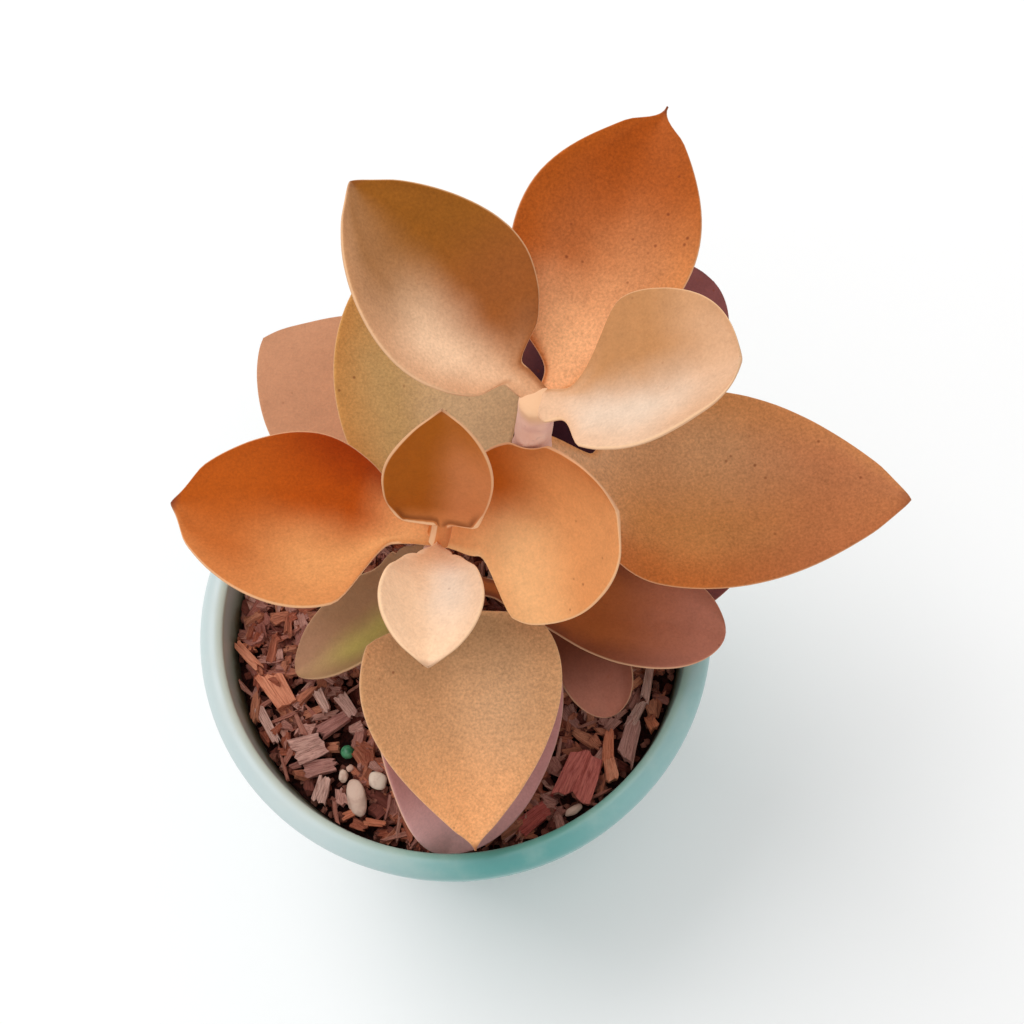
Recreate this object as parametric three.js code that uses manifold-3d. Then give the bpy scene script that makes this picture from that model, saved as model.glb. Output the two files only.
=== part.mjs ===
// Potted copper spoons: a young succulent with two leafy stems in a round plastic pot.
// Millimetres, +Z up. The origin is the centre of the pot's flat underside, +Y is the far side.

import * as THREE from 'three';
import { mergeVertices } from 'three/addons/utils/BufferGeometryUtils.js';
import Module from 'manifold-3d';

const wasm = await Module();
wasm.setup();

// Driving sizes of the pot.
const POT_HEIGHT = 120;
const RIM_RADIUS = 70;
const RIM_DROP = 3.6;
const LIP_CROWN_RADIUS = 65.8;
const LIP_INNER_RADIUS = 63.4;
const COLLAR_HEIGHT = 15;
const WALL = 1.6;
const BASE_RADIUS = 51;
const FLOOR = 2.8;
const FOOT_HEIGHT = 1.4;
const DRAIN_COUNT = 8;
const DRAIN_RADIUS = 4;
const DRAIN_CIRCLE = 31;
const DRAIN_SIDES = 12;
const HUB_RADIUS = 15;
const FOOT_WIDTH = 8;
const FOOT_SLOPE = 1.2;
const FOOT_BEVEL = 1.4;
const FLOOR_FILLET = 2;
const SKIRT_INSET = 1.2;
const POT_SIDES = 48;

// Driving sizes of the potting mix.
const GAP = 0.3;
const MIX_DEPTH = 15.5;
const MIX_SIDES = 36;
const MIX_RINGS = 7;
const CHIP_ROWS = 9;
const CHIP_SPACING = 13.2;
const CHIP_TAPER = 0.62;
const CHIP_LIFT = 0.3;
const CHIP_TILT = 0.42;
const CHIP_MARGIN = 5;
const BEAD_RADIUS = 1.9;
const BEAD_SIDES = 14;
const BEAD_PLACE = [-32.2, -31.5];

// Driving sizes of the plant.
const PETIOLE_HALF_WIDTH = 1.9;
const PETIOLE_THICKNESS = 3.2;
const MARGIN_THICKNESS = 1;
const LEAF_STEPS = 14;
const LEAF_COLUMNS = 6;
const PETIOLE_STEPS = 2;
const FOOT_FADE = 0.35;
const THROAT_FADE = 0.25;
const STEM_SIDES = 12;
const STEM_STEPS = 12;
const DOME_HEIGHT = 1.6;
const DOME_SHARE = 0.6;
const TIP_HALF_WIDTH = 0.6;
const TIP_START = 0.8;
const TIP_THINNING = 0.45;

// The two stems, each a curve through three places: height is above the rim.
const STEMS = {
  front: {
    foot: [-3, 4, -52],
    bend: [-3, 3, 10],
    top: [-1, 1, 58],
    footRadius: 4.4,
    topRadius: 2.6,
  },
  back: {
    foot: [7, 7, -50],
    bend: [22, 18.5, 26],
    top: [26, 22, 86],
    footRadius: 5,
    topRadius: 4.2,
  },
};

// The leaves. Each grows from a stem's axis at a height above the rim. Azimuth is counted from
// +X towards +Y and rise from the horizontal, both for the line from the axis to the leaf's tip.
// Widest is the place of the greatest width along the blade. Fold is the slope of each half at
// the midrib, cup what the slope gains up to the margin, and roll lifts the left margin, seen
// from the stem. Sag lowers the middle of the midrib and sway moves it to the left, as a share
// of the length. Shoulder and point are low for a round end of the blade and high for a sharp one.
// Neck and throat are half the petiole's width at the stem and where the blade starts, and flare is
// the share of the blade over which it opens, each for the right half and the left. Foot moves the
// petiole's start off the stem's axis, and lean is the share by which the left half is wider.
const LEAVES = [
  {
    name: 'leaf_front_top_far', stem: 'front', height: 55, azimuth: 70, rise: 66,
    length: 43, width: 27, thickness: 1.8, petiole: 7, widest: 0.48, fold: 12, cup: 18,
    roll: 12, sag: 0.01, sway: -0.04, shoulder: 0.14, point: 0.74,
    neck: [3, 2], throat: [3, 2], flare: [0.06, 0.015], foot: [0.8, 0.5, 0], lean: 0.12,
    tone: 'copper',
  },
  {
    name: 'leaf_front_top_near', stem: 'front', height: 55, azimuth: -93, rise: 29,
    length: 41, width: 28, thickness: 1.8, petiole: 8, widest: 0.58, fold: 18, cup: 30,
    roll: -6, sag: -0.09, sway: 0, shoulder: 0.3, point: 0.66,
    neck: [1, 1], throat: [5, 5], flare: [0.02, 0.02], foot: [0.8, -0.4, 0.2],
    tone: 'peach',
  },
  {
    name: 'leaf_front_left', stem: 'front', height: 50, azimuth: 167, rise: 9,
    length: 64, width: 48, thickness: 2.2, petiole: 7, widest: 0.46, fold: 10, cup: 16,
    roll: 4, sag: 0.02, sway: 0, shoulder: 0.6, point: 0.62,
    neck: [5, 1.9], throat: [7, 1.9], flare: [0.05, 0.25], foot: [-1, 2.8, 0.8],
    tone: 'copper',
  },
  {
    name: 'leaf_front_right', stem: 'front', height: 50, azimuth: -6, rise: 32,
    length: 51, width: 46, thickness: 2.2, petiole: 7, widest: 0.38, fold: 8, cup: 11,
    roll: 32, sag: 0.19, sway: -0.03, shoulder: 0.35, point: 0.34,
    neck: [2, 6], throat: [5, 8], flare: [0.14, 0.05], foot: [1, 2.4, 0.8],
    tone: 'copper',
  },
  {
    name: 'leaf_front_low_near', stem: 'front', height: 38, azimuth: -87, rise: -22,
    length: 72, width: 55, thickness: 2.4, petiole: 10, widest: 0.3, fold: 14, cup: 20,
    roll: -12, sag: 0, sway: 0.01, shoulder: 0.5, point: 0.95,
    neck: [3, 3], throat: [3, 3], flare: [0.1, 0.1],
    tone: 'olive',
  },
  {
    name: 'leaf_front_low_far', stem: 'front', height: 38, azimuth: 90.5, rise: 9,
    length: 88, width: 51, thickness: 2.4, petiole: 10, widest: 0.48, fold: 13, cup: 20,
    roll: 4, sag: 0.03, sway: 0, shoulder: 0.45, point: 0.65,
    neck: [3, 3], throat: [3, 3], flare: [0.1, 0.1], lean: -0.065,
    tone: 'olive',
  },
  {
    name: 'leaf_front_base_right', stem: 'front', height: 30, azimuth: -13, rise: -13.5,
    length: 77, width: 30, thickness: 2.2, petiole: 12, widest: 0.66, fold: 14, cup: 22,
    roll: 4, sag: 0.03, sway: -0.01, shoulder: 0.58, point: 0.55,
    neck: [2.6, 2.6], throat: [2.6, 2.6], flare: [0.1, 0.1],
    tone: 'mauve',
  },
  {
    name: 'leaf_front_base_left', stem: 'front', height: 26, azimuth: -165, rise: -38,
    length: 56, width: 27, thickness: 2, petiole: 9, widest: 0.38, fold: 18, cup: 28,
    roll: 5, sag: 0.03, sway: -0.01, shoulder: 0.5, point: 0.6,
    neck: [6, 2.4], throat: [11, 2.4], flare: [0.03, 0.1], foot: [-1, 2.5, 7],
    tone: 'green',
  },
  {
    name: 'leaf_front_base_near', stem: 'front', height: 14, azimuth: -94, rise: -22,
    length: 69, width: 55, thickness: 2.2, petiole: 8, widest: 0.3, fold: 12, cup: 16,
    roll: -24, sag: -0.1, sway: 0.03, shoulder: 0.4, point: 0.5,
    neck: [3, 3], throat: [3, 3], flare: [0.1, 0.1],
    tone: 'mauve',
  },
  {
    name: 'leaf_back_top_left', stem: 'back', height: 84, azimuth: 130, rise: 27,
    length: 64, width: 46.5, thickness: 2.2, petiole: 7, widest: 0.44, fold: 16, cup: 23,
    roll: 3, sag: 0.03, sway: 0.02, shoulder: 0.63, point: 0.7,
    neck: [3.4, 3], throat: [4, 3.4], flare: [0.11, 0.06], foot: [0.7, 1, 0],
    tone: 'olive',
  },
  {
    name: 'leaf_back_top_right', stem: 'back', height: 84, azimuth: -7, rise: 30,
    length: 50, width: 41.5, thickness: 2.2, petiole: 3.5, widest: 0.51, fold: 11, cup: 15,
    roll: -8, sag: 0.04, sway: -0.02, shoulder: 0.41, point: 0.34,
    neck: [3.6, 3.2], throat: [6.5, 3], flare: [0.24, 0.4], foot: [0, 0.6, 0], lean: 0.1,
    tone: 'peach',
  },
  {
    name: 'leaf_back_top_far', stem: 'back', height: 78, azimuth: 60.5, rise: 17,
    length: 78, width: 45.5, thickness: 2.2, petiole: 6, widest: 0.51, fold: 13, cup: 19,
    roll: 6, sag: 0, sway: 0.008, shoulder: 0.66, point: 0.96,
    neck: [4, 3], throat: [4.5, 2.4], flare: [0.05, 0.2], foot: [1.2, 0.6, 0],
    tone: 'copper',
  },
  {
    name: 'leaf_back_low_right', stem: 'back', height: 48, azimuth: -9, rise: 0,
    length: 94, width: 53, thickness: 2.6, petiole: 12, widest: 0.36, fold: 7, cup: 8,
    roll: 5, sag: 0.08, sway: 0.01, shoulder: 0.48, point: 0.7,
    neck: [6.5, 5], throat: [5, 3.6], flare: [0.1, 0.12], foot: [3, 1.6, 11],
    tone: 'copper',
  },
  {
    name: 'leaf_back_low_left', stem: 'back', height: 36, azimuth: 138.5, rise: -8,
    length: 90.5, width: 55, thickness: 2.4, petiole: 12, widest: 0.5, fold: 4, cup: 6,
    roll: 4, sag: 0.04, sway: -0.01, shoulder: 0.5, point: 0.72,
    neck: [3.4, 3.4], throat: [3.4, 3.4], flare: [0.1, 0.1],
    tone: 'mauve',
  },
  {
    name: 'leaf_back_base_far', stem: 'back', height: 28, azimuth: 47, rise: 0,
    length: 86, width: 56, thickness: 2.2, petiole: 12, widest: 0.5, fold: 12, cup: 18,
    roll: 9, sag: -0.03, sway: 0.04, shoulder: 0.5, point: 0.62,
    neck: [3, 3], throat: [3, 3], flare: [0.1, 0.1], lean: 0.12,
    tone: 'plum',
  },
  {
    name: 'leaf_back_base_right', stem: 'back', height: 19, azimuth: -9.5, rise: -12.5,
    length: 65, width: 34, thickness: 2, petiole: 10, widest: 0.6, fold: 4, cup: 6,
    roll: 7, sag: 0.05, sway: 0, shoulder: 0.5, point: 1,
    neck: [2.4, 2.4], throat: [2.4, 2.4], flare: [0.1, 0.1],
    tone: 'plum',
  },
  {
    name: 'leaf_back_base_near', stem: 'back', height: 4, azimuth: -63, rise: -10,
    length: 51, width: 22, thickness: 2, petiole: 8, widest: 0.68, fold: 15, cup: 23,
    roll: 0, sag: 0.02, sway: 0.08, shoulder: 0.5, point: 0.45,
    neck: [2.2, 2.2], throat: [2.2, 2.2], flare: [0.1, 0.1],
    tone: 'mauve',
  },
];

const TONES = {
  copper: [0xc06a2c, 0.62],
  peach: [0xe8c39c, 0.6],
  olive: [0xb08a4e, 0.62],
  mauve: [0x96644e, 0.65],
  green: [0x988c58, 0.62],
  plum: [0x7c4c4a, 0.66],
};

function radians(degrees) {
  return THREE.MathUtils.degToRad(degrees);
}

// A row of the same random numbers every time.
function seeded(seed) {
  let state = seed;
  return () => {
    state = (state * 1664525 + 1013904223) % 4294967296;
    return state / 4294967296;
  };
}

function geometryOf(points, triangles) {
  const geometry = new THREE.BufferGeometry();
  geometry.setAttribute('position', new THREE.Float32BufferAttribute(points, 3));
  geometry.setIndex(triangles);
  return geometry;
}

// Joins and cuts.

function solidOf(geometry) {
  const bare = geometry.clone();
  bare.deleteAttribute('normal');
  bare.deleteAttribute('uv');
  const merged = mergeVertices(bare, 1e-4);
  const vertProperties = new Float32Array(merged.attributes.position.array);
  const triVerts = new Uint32Array(merged.index.array);
  return new wasm.Manifold(new wasm.Mesh({ numProp: 3, vertProperties, triVerts }));
}

function geometryFrom(solid) {
  const mesh = solid.getMesh();
  return geometryOf(Array.from(mesh.vertProperties), Array.from(mesh.triVerts));
}

// The largest body of a solid, without the scraps that a cut leaves.
function mainBody(solid) {
  const bodies = solid.decompose();
  bodies.sort((a, b) => b.volume() - a.volume());
  return bodies[0];
}

// Pot.

function wallRadius(height) {
  const share = height / (POT_HEIGHT - COLLAR_HEIGHT);
  return THREE.MathUtils.lerp(BASE_RADIUS, LIP_INNER_RADIUS + WALL - SKIRT_INSET, share);
}

function potProfile() {
  const collar = POT_HEIGHT - COLLAR_HEIGHT;
  const footInner = BASE_RADIUS - FOOT_WIDTH;
  return [
    [0, 0],
    [HUB_RADIUS, 0],
    [HUB_RADIUS + FOOT_SLOPE, FOOT_HEIGHT],
    [footInner - FOOT_SLOPE, FOOT_HEIGHT],
    [footInner, 0],
    [BASE_RADIUS - FOOT_BEVEL, 0],
    [wallRadius(FOOT_HEIGHT), FOOT_HEIGHT],
    [wallRadius(collar), collar],
    [RIM_RADIUS - SKIRT_INSET, collar],
    [RIM_RADIUS, POT_HEIGHT - RIM_DROP],
    [RIM_RADIUS - 0.5, POT_HEIGHT - 2.2],
    [RIM_RADIUS - 1.8, POT_HEIGHT - 0.9],
    [LIP_CROWN_RADIUS, POT_HEIGHT],
    [LIP_INNER_RADIUS + 0.7, POT_HEIGHT - 0.2],
    [LIP_INNER_RADIUS, POT_HEIGHT - 1.2],
    [wallRadius(collar) - WALL, collar],
    [wallRadius(FLOOR) - WALL, FLOOR + FLOOR_FILLET],
    [wallRadius(FLOOR) - WALL - FLOOR_FILLET, FLOOR],
    [0, FLOOR],
  ].map(([radius, height]) => new THREE.Vector2(radius, height));
}

function potSolid() {
  const turned = new THREE.LatheGeometry(potProfile(), POT_SIDES);
  turned.rotateX(Math.PI / 2);
  let pot = solidOf(turned);
  for (let i = 0; i < DRAIN_COUNT; i += 1) {
    const angle = ((i + 0.5) / DRAIN_COUNT) * 2 * Math.PI;
    const drain = new THREE.CylinderGeometry(DRAIN_RADIUS, DRAIN_RADIUS, 4 * FLOOR, DRAIN_SIDES);
    drain.rotateX(Math.PI / 2);
    drain.translate(DRAIN_CIRCLE * Math.cos(angle), DRAIN_CIRCLE * Math.sin(angle), 0);
    pot = pot.subtract(solidOf(drain));
  }
  return pot;
}

// Stems.

function stemCurve(stem) {
  const [foot, bend, top] = [stem.foot, stem.bend, stem.top].map(
    ([x, y, height]) => new THREE.Vector3(x, y, POT_HEIGHT + height),
  );
  return new THREE.QuadraticBezierCurve3(foot, bend, top);
}

// The place on a stem's axis at a height above the rim.
function stemPlace(stem, height) {
  const curve = stemCurve(stem);
  let low = 0;
  let high = 1;
  for (let i = 0; i < 30; i += 1) {
    const middle = (low + high) / 2;
    if (curve.getPoint(middle).z < POT_HEIGHT + height) {
      low = middle;
    } else {
      high = middle;
    }
  }
  return curve.getPoint(low);
}

// A tapering round tube with a domed top, grown all round by a clearance.
function stemSolid(stem, clearance = 0) {
  const curve = stemCurve(stem);
  const points = [];
  const triangles = [];
  const rings = [];
  for (let i = 0; i <= STEM_STEPS; i += 1) {
    const share = i / STEM_STEPS;
    rings.push([curve.getPoint(share), THREE.MathUtils.lerp(stem.footRadius, stem.topRadius, share)]);
  }
  const axis = curve.getTangent(1);
  const tip = curve.getPoint(1);
  rings.push([tip.clone().addScaledVector(axis, DOME_HEIGHT + clearance), stem.topRadius * DOME_SHARE]);
  rings[0][0].z -= clearance;
  rings.forEach(([centre, radius]) => {
    for (let k = 0; k < STEM_SIDES; k += 1) {
      const angle = (k / STEM_SIDES) * 2 * Math.PI;
      const reach = radius + clearance;
      points.push(centre.x + reach * Math.cos(angle), centre.y + reach * Math.sin(angle), centre.z);
    }
  });
  for (let i = 0; i < rings.length - 1; i += 1) {
    for (let k = 0; k < STEM_SIDES; k += 1) {
      const next = (k + 1) % STEM_SIDES;
      const a = i * STEM_SIDES + k;
      const b = i * STEM_SIDES + next;
      triangles.push(a, b, b + STEM_SIDES, a, b + STEM_SIDES, a + STEM_SIDES);
    }
  }
  const last = (rings.length - 1) * STEM_SIDES;
  for (let k = 1; k < STEM_SIDES - 1; k += 1) {
    triangles.push(0, k + 1, k, last, last + k, last + k + 1);
  }
  return solidOf(geometryOf(points, triangles));
}

// Leaves.

// The directions of a leaf: along it, to its left and out of its upper face.
function leafAxes(leaf) {
  const azimuth = radians(leaf.azimuth);
  const rise = radians(leaf.rise);
  const along = new THREE.Vector3(
    Math.cos(azimuth) * Math.cos(rise),
    Math.sin(azimuth) * Math.cos(rise),
    Math.sin(rise),
  );
  const left = new THREE.Vector3(-Math.sin(azimuth), Math.cos(azimuth), 0);
  left.applyAxisAngle(along, radians(leaf.roll));
  const out = new THREE.Vector3().crossVectors(along, left);
  return { along, left, out };
}

// The share of the way along the leaf at a step, closer together at both ends of the blade.
function stationAt(leaf, step) {
  const petiole = leaf.petiole / leaf.length;
  if (step <= PETIOLE_STEPS) {
    return (petiole * step) / PETIOLE_STEPS;
  }
  const turn = (Math.PI * (step - PETIOLE_STEPS)) / (LEAF_STEPS - PETIOLE_STEPS);
  return petiole + ((1 - petiole) * (1 - Math.cos(turn))) / 2;
}

// Half the width at a share of the length, of the right half, side 0, or the left one, side 1.
function halfWidth(leaf, s, side) {
  const { lerp, smoothstep } = THREE.MathUtils;
  const neck = leaf.neck[side];
  const throat = leaf.throat[side];
  const petiole = leaf.petiole / leaf.length;
  const u = (s - petiole) / (1 - petiole);
  if (u <= 0) {
    return lerp(neck, throat, smoothstep(s, 0, petiole));
  }
  const slender = PETIOLE_HALF_WIDTH * Math.sqrt(1 - s);
  const stalk = lerp(throat, slender, smoothstep(u, 0, THROAT_FADE));
  const skew = Math.log(0.5) / Math.log(leaf.widest);
  const roundness = lerp(leaf.shoulder, leaf.point, u);
  const blade = (leaf.width / 2) * Math.sin(Math.PI * u ** skew) ** roundness;
  const uneven = 1 + (leaf.lean ?? 0) * (2 * side - 1);
  return Math.hypot(blade * smoothstep(u, 0, leaf.flare[side]) * uneven, stalk);
}

function thicknessAt(leaf, s, t) {
  const petiole = leaf.petiole / leaf.length;
  const stalk = 1 - THREE.MathUtils.smoothstep(s, petiole * 0.6, petiole * 1.8);
  const rib = THREE.MathUtils.lerp(leaf.thickness, PETIOLE_THICKNESS, stalk);
  const margin = THREE.MathUtils.lerp(MARGIN_THICKNESS, PETIOLE_THICKNESS * 0.45, stalk);
  const tip = 1 - TIP_THINNING * THREE.MathUtils.smoothstep(s, TIP_START, 1);
  return THREE.MathUtils.lerp(rib, margin, t * t) * tip;
}

// A place on the leaf's middle sheet, s along it from 0 to 1 and t across it from -1 to 1, and
// the direction out of its upper face there.
function sheetPlace(leaf, root, axes, s, t, reach) {
  const bend = axes.left.clone().multiplyScalar(leaf.sway).addScaledVector(axes.out, -leaf.sag);
  const place = root.clone().addScaledVector(axes.along, leaf.length * s);
  place.addScaledVector(bend, leaf.length * 4 * s * (1 - s));
  if (leaf.foot) {
    const share = 1 - THREE.MathUtils.smoothstep(s, 0, FOOT_FADE);
    place.addScaledVector(new THREE.Vector3(...leaf.foot), share);
  }
  const forward = axes.along.clone().addScaledVector(bend, 4 * (1 - 2 * s)).normalize();
  const left = axes.left.clone().addScaledVector(forward, -axes.left.dot(forward)).normalize();
  const out = new THREE.Vector3().crossVectors(forward, left);
  const fold = radians(leaf.fold);
  const cup = radians(leaf.cup);
  const slope = fold + cup * Math.abs(t);
  const side = (reach * (Math.sin(slope) - Math.sin(fold))) / cup;
  const lift = (reach * (Math.cos(fold) - Math.cos(slope))) / cup;
  place.addScaledVector(left, side * Math.sign(t)).addScaledVector(out, lift);
  const normal = out.multiplyScalar(Math.cos(slope));
  normal.addScaledVector(left, -Math.sin(slope) * Math.sign(t));
  return { place, normal };
}

// Both faces are split alike, so that a thin blade never crosses itself.
function leafSolid(leaf, clearance = 0) {
  const root = stemPlace(STEMS[leaf.stem], leaf.height);
  const axes = leafAxes(leaf);
  const points = [];
  const triangles = [];
  const row = LEAF_COLUMNS + 1;
  const upper = (i, j) => i * row + j;
  const lower = (i, j) => (LEAF_STEPS + 1 + i) * row + j;
  [1, -1].forEach((face) => {
    for (let i = 0; i <= LEAF_STEPS; i += 1) {
      const s = stationAt(leaf, i);
      for (let j = 0; j <= LEAF_COLUMNS; j += 1) {
        const t = (2 * j) / LEAF_COLUMNS - 1;
        const reach = Math.max(halfWidth(leaf, s, t > 0 ? 1 : 0), TIP_HALF_WIDTH) + clearance;
        const { place, normal } = sheetPlace(leaf, root, axes, s, t, reach);
        place.addScaledVector(normal, face * (thicknessAt(leaf, s, t) / 2 + clearance));
        if (i === LEAF_STEPS) {
          place.addScaledVector(axes.along, clearance);
        }
        points.push(place.x, place.y, place.z);
      }
    }
  });
  const quad = (a, b, c, d) => triangles.push(a, b, c, a, c, d);
  for (let i = 0; i < LEAF_STEPS; i += 1) {
    for (let j = 0; j < LEAF_COLUMNS; j += 1) {
      quad(upper(i, j), upper(i + 1, j), upper(i + 1, j + 1), upper(i, j + 1));
      triangles.push(lower(i, j), lower(i + 1, j + 1), lower(i + 1, j));
      triangles.push(lower(i, j), lower(i, j + 1), lower(i + 1, j + 1));
    }
    quad(lower(i, 0), lower(i + 1, 0), upper(i + 1, 0), upper(i, 0));
    const j = LEAF_COLUMNS;
    quad(upper(i, j), upper(i + 1, j), lower(i + 1, j), lower(i, j));
  }
  const end = LEAF_STEPS;
  for (let j = 0; j < LEAF_COLUMNS; j += 1) {
    quad(upper(0, j), upper(0, j + 1), lower(0, j + 1), lower(0, j));
    quad(upper(end, j + 1), upper(end, j), lower(end, j), lower(end, j + 1));
  }
  return solidOf(geometryOf(points, triangles));
}

// Potting mix.

// The height of the mix above the pot's base: low swells, and a dip at the wall.
function mixHeight(x, y) {
  const swell = 0.9 * Math.sin(x / 9 + 1) * Math.cos(y / 11) + 0.5 * Math.sin(x / 5 - y / 6);
  return POT_HEIGHT - MIX_DEPTH + swell;
}

function mixBody() {
  const topRadius = wallRadius(POT_HEIGHT - MIX_DEPTH) - WALL - GAP;
  const points = [0, 0, mixHeight(0, 0)];
  const triangles = [];
  const ring = (i, k) => 1 + i * MIX_SIDES + (k % MIX_SIDES);
  for (let i = 1; i <= MIX_RINGS; i += 1) {
    for (let k = 0; k < MIX_SIDES; k += 1) {
      const angle = (k / MIX_SIDES) * 2 * Math.PI;
      const radius = (topRadius * i) / MIX_RINGS;
      const x = radius * Math.cos(angle);
      const y = radius * Math.sin(angle);
      points.push(x, y, i === MIX_RINGS ? POT_HEIGHT - MIX_DEPTH - 0.6 : mixHeight(x, y));
    }
  }
  const floorRadius = wallRadius(FLOOR) - WALL - FLOOR_FILLET - GAP;
  for (let k = 0; k < MIX_SIDES; k += 1) {
    const angle = (k / MIX_SIDES) * 2 * Math.PI;
    points.push(floorRadius * Math.cos(angle), floorRadius * Math.sin(angle), FLOOR + GAP);
  }
  points.push(0, 0, FLOOR + GAP);
  const bottom = points.length / 3 - 1;
  for (let k = 0; k < MIX_SIDES; k += 1) {
    triangles.push(0, ring(0, k), ring(0, k + 1));
    for (let i = 0; i < MIX_RINGS; i += 1) {
      triangles.push(ring(i, k), ring(i + 1, k), ring(i + 1, k + 1));
      triangles.push(ring(i, k), ring(i + 1, k + 1), ring(i, k + 1));
    }
    triangles.push(bottom, ring(MIX_RINGS, k + 1), ring(MIX_RINGS, k));
  }
  return solidOf(geometryOf(points, triangles));
}

// A flake of bark or grit: a block with one end narrower, sunk half way into the mix.
function chipSolid(x, y, size, turn, pitch, bank) {
  const chip = new THREE.BoxGeometry(size.x, size.y, size.z);
  const corners = chip.attributes.position;
  for (let i = 0; i < corners.count; i += 1) {
    const narrow = corners.getX(i) > 0 ? CHIP_TAPER : 1;
    corners.setY(i, corners.getY(i) * narrow);
  }
  chip.rotateY(pitch);
  chip.rotateX(bank);
  chip.rotateZ(turn);
  chip.translate(x, y, mixHeight(x, y) + size.z * CHIP_LIFT);
  return solidOf(chip);
}

// Chips on rings all over the mix, each moved, turned and sized at random.
function mixSolid(cutters) {
  const random = seeded(20);
  const between = (low, high) => THREE.MathUtils.lerp(low, high, random());
  const wall = wallRadius(POT_HEIGHT - MIX_DEPTH) - WALL;
  const reach = wall - CHIP_MARGIN;
  const parts = [mixBody()];
  for (let ring = 1; ring <= CHIP_ROWS; ring += 1) {
    const radius = (reach * (ring - 0.4)) / (CHIP_ROWS - 0.4);
    const count = Math.round((2 * Math.PI * radius) / CHIP_SPACING);
    for (let k = 0; k < count; k += 1) {
      const angle = ((k + between(0, 0.8)) / count) * 2 * Math.PI;
      const size = new THREE.Vector3(between(5, 12), between(3, 7), between(2.6, 4.4));
      const turn = between(0, 2 * Math.PI);
      const place = Math.min(radius + between(-1.5, 1.5), wall - 2 - size.x / 2);
      const pitch = between(-CHIP_TILT, CHIP_TILT);
      const bank = between(-CHIP_TILT, CHIP_TILT);
      parts.push(chipSolid(place * Math.cos(angle), place * Math.sin(angle), size, turn, pitch, bank));
    }
  }
  let mix = wasm.Manifold.union(parts);
  cutters.forEach((cutter) => {
    mix = mix.subtract(cutter);
  });
  return mainBody(mix);
}

// A ball of slow-release fertiliser, just sunk into the mix.
function beadSolid(clearance = 0) {
  const bead = new THREE.SphereGeometry(BEAD_RADIUS + clearance, BEAD_SIDES, BEAD_SIDES / 2);
  bead.translate(BEAD_PLACE[0], BEAD_PLACE[1], mixHeight(...BEAD_PLACE) + BEAD_RADIUS * 0.9);
  return solidOf(bead);
}

// Scene graph.

const group = new THREE.Group();
group.name = 'potted_copper_spoons';

function add(name, solid, colour, roughness) {
  const material = new THREE.MeshStandardMaterial({ color: colour, roughness, metalness: 0 });
  const mesh = new THREE.Mesh(geometryFrom(solid), material);
  mesh.name = name;
  group.add(mesh);
}

const grownStems = {
  front: stemSolid(STEMS.front, GAP),
  back: stemSolid(STEMS.back, GAP),
};
const lowLeaves = LEAVES.filter((leaf) => leaf.height < 30);

add('pot', potSolid(), 0x6fb0ab, 0.42);
add(
  'potting_mix',
  mixSolid([
    grownStems.front,
    grownStems.back,
    beadSolid(GAP),
    ...lowLeaves.map((leaf) => leafSolid(leaf, GAP)),
  ]),
  0x6b3f33,
  0.9,
);
add('fertiliser_bead', beadSolid(), 0x3f8a5c, 0.5);
add('stem_front', stemSolid(STEMS.front), 0xbf9c8a, 0.7);
add('stem_back', mainBody(stemSolid(STEMS.back).subtract(grownStems.front)), 0xc2a294, 0.7);
LEAVES.forEach((leaf) => {
  const [colour, roughness] = TONES[leaf.tone];
  const clear = leafSolid(leaf).subtract(grownStems.front).subtract(grownStems.back);
  add(leaf.name, mainBody(clear), colour, roughness);
});

export default group;
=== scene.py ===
"""Potted copper spoons: felted leaves, two stems, bark mix and a teal pot, in metres, +Z up."""

import math
from collections import namedtuple
from random import Random

import bmesh
import bpy
from mathutils import Matrix, Quaternion, Vector, noise
from mathutils.bvhtree import BVHTree


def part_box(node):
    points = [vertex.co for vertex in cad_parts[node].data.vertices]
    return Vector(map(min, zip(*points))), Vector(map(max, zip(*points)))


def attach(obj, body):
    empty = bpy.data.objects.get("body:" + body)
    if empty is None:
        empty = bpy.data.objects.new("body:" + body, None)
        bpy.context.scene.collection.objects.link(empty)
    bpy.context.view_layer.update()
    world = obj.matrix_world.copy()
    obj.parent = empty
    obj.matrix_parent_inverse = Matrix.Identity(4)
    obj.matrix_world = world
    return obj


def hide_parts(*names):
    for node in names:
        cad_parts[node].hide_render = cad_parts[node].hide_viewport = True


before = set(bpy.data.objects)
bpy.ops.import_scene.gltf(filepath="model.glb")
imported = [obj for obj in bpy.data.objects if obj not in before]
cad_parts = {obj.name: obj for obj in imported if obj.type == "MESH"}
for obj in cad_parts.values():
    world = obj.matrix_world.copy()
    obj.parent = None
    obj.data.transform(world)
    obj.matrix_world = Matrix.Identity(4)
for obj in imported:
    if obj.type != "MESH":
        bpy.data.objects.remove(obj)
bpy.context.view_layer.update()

MM = 0.001

# The pot's driving sizes, in millimetres.

POT_HEIGHT = 120
RIM_RADIUS = 70
RIM_DROP = 3.6
LIP_CROWN_RADIUS = 65.8
LIP_INNER_RADIUS = 63.4
LIP_ROUND = 1.4
LIP_DEPTH = 5
COLLAR_HEIGHT = 15
COLLAR_ROUND = 0.6
COLLAR_FILLET = 0.8
SKIRT_INSET = 1.2
WALL = 1.6
DRAFT = 0.1
BASE_RADIUS = 51
BASE_ROUND = 1.4
FLOOR = 2.8
FLOOR_CORNER = 2
FOOT_HEIGHT = 1.4
FOOT_WIDTH = 8
FOOT_SLOPE = 1.2
HUB_RADIUS = 15
DRAIN_COUNT = 8
DRAIN_RADIUS = 4
DRAIN_CIRCLE = 31
POT_STEPS = 144
RING_SPACING = 10

# The potting mix, in millimetres: its top, its fine bed, its crumbs and the room that a chip leaves.

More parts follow.
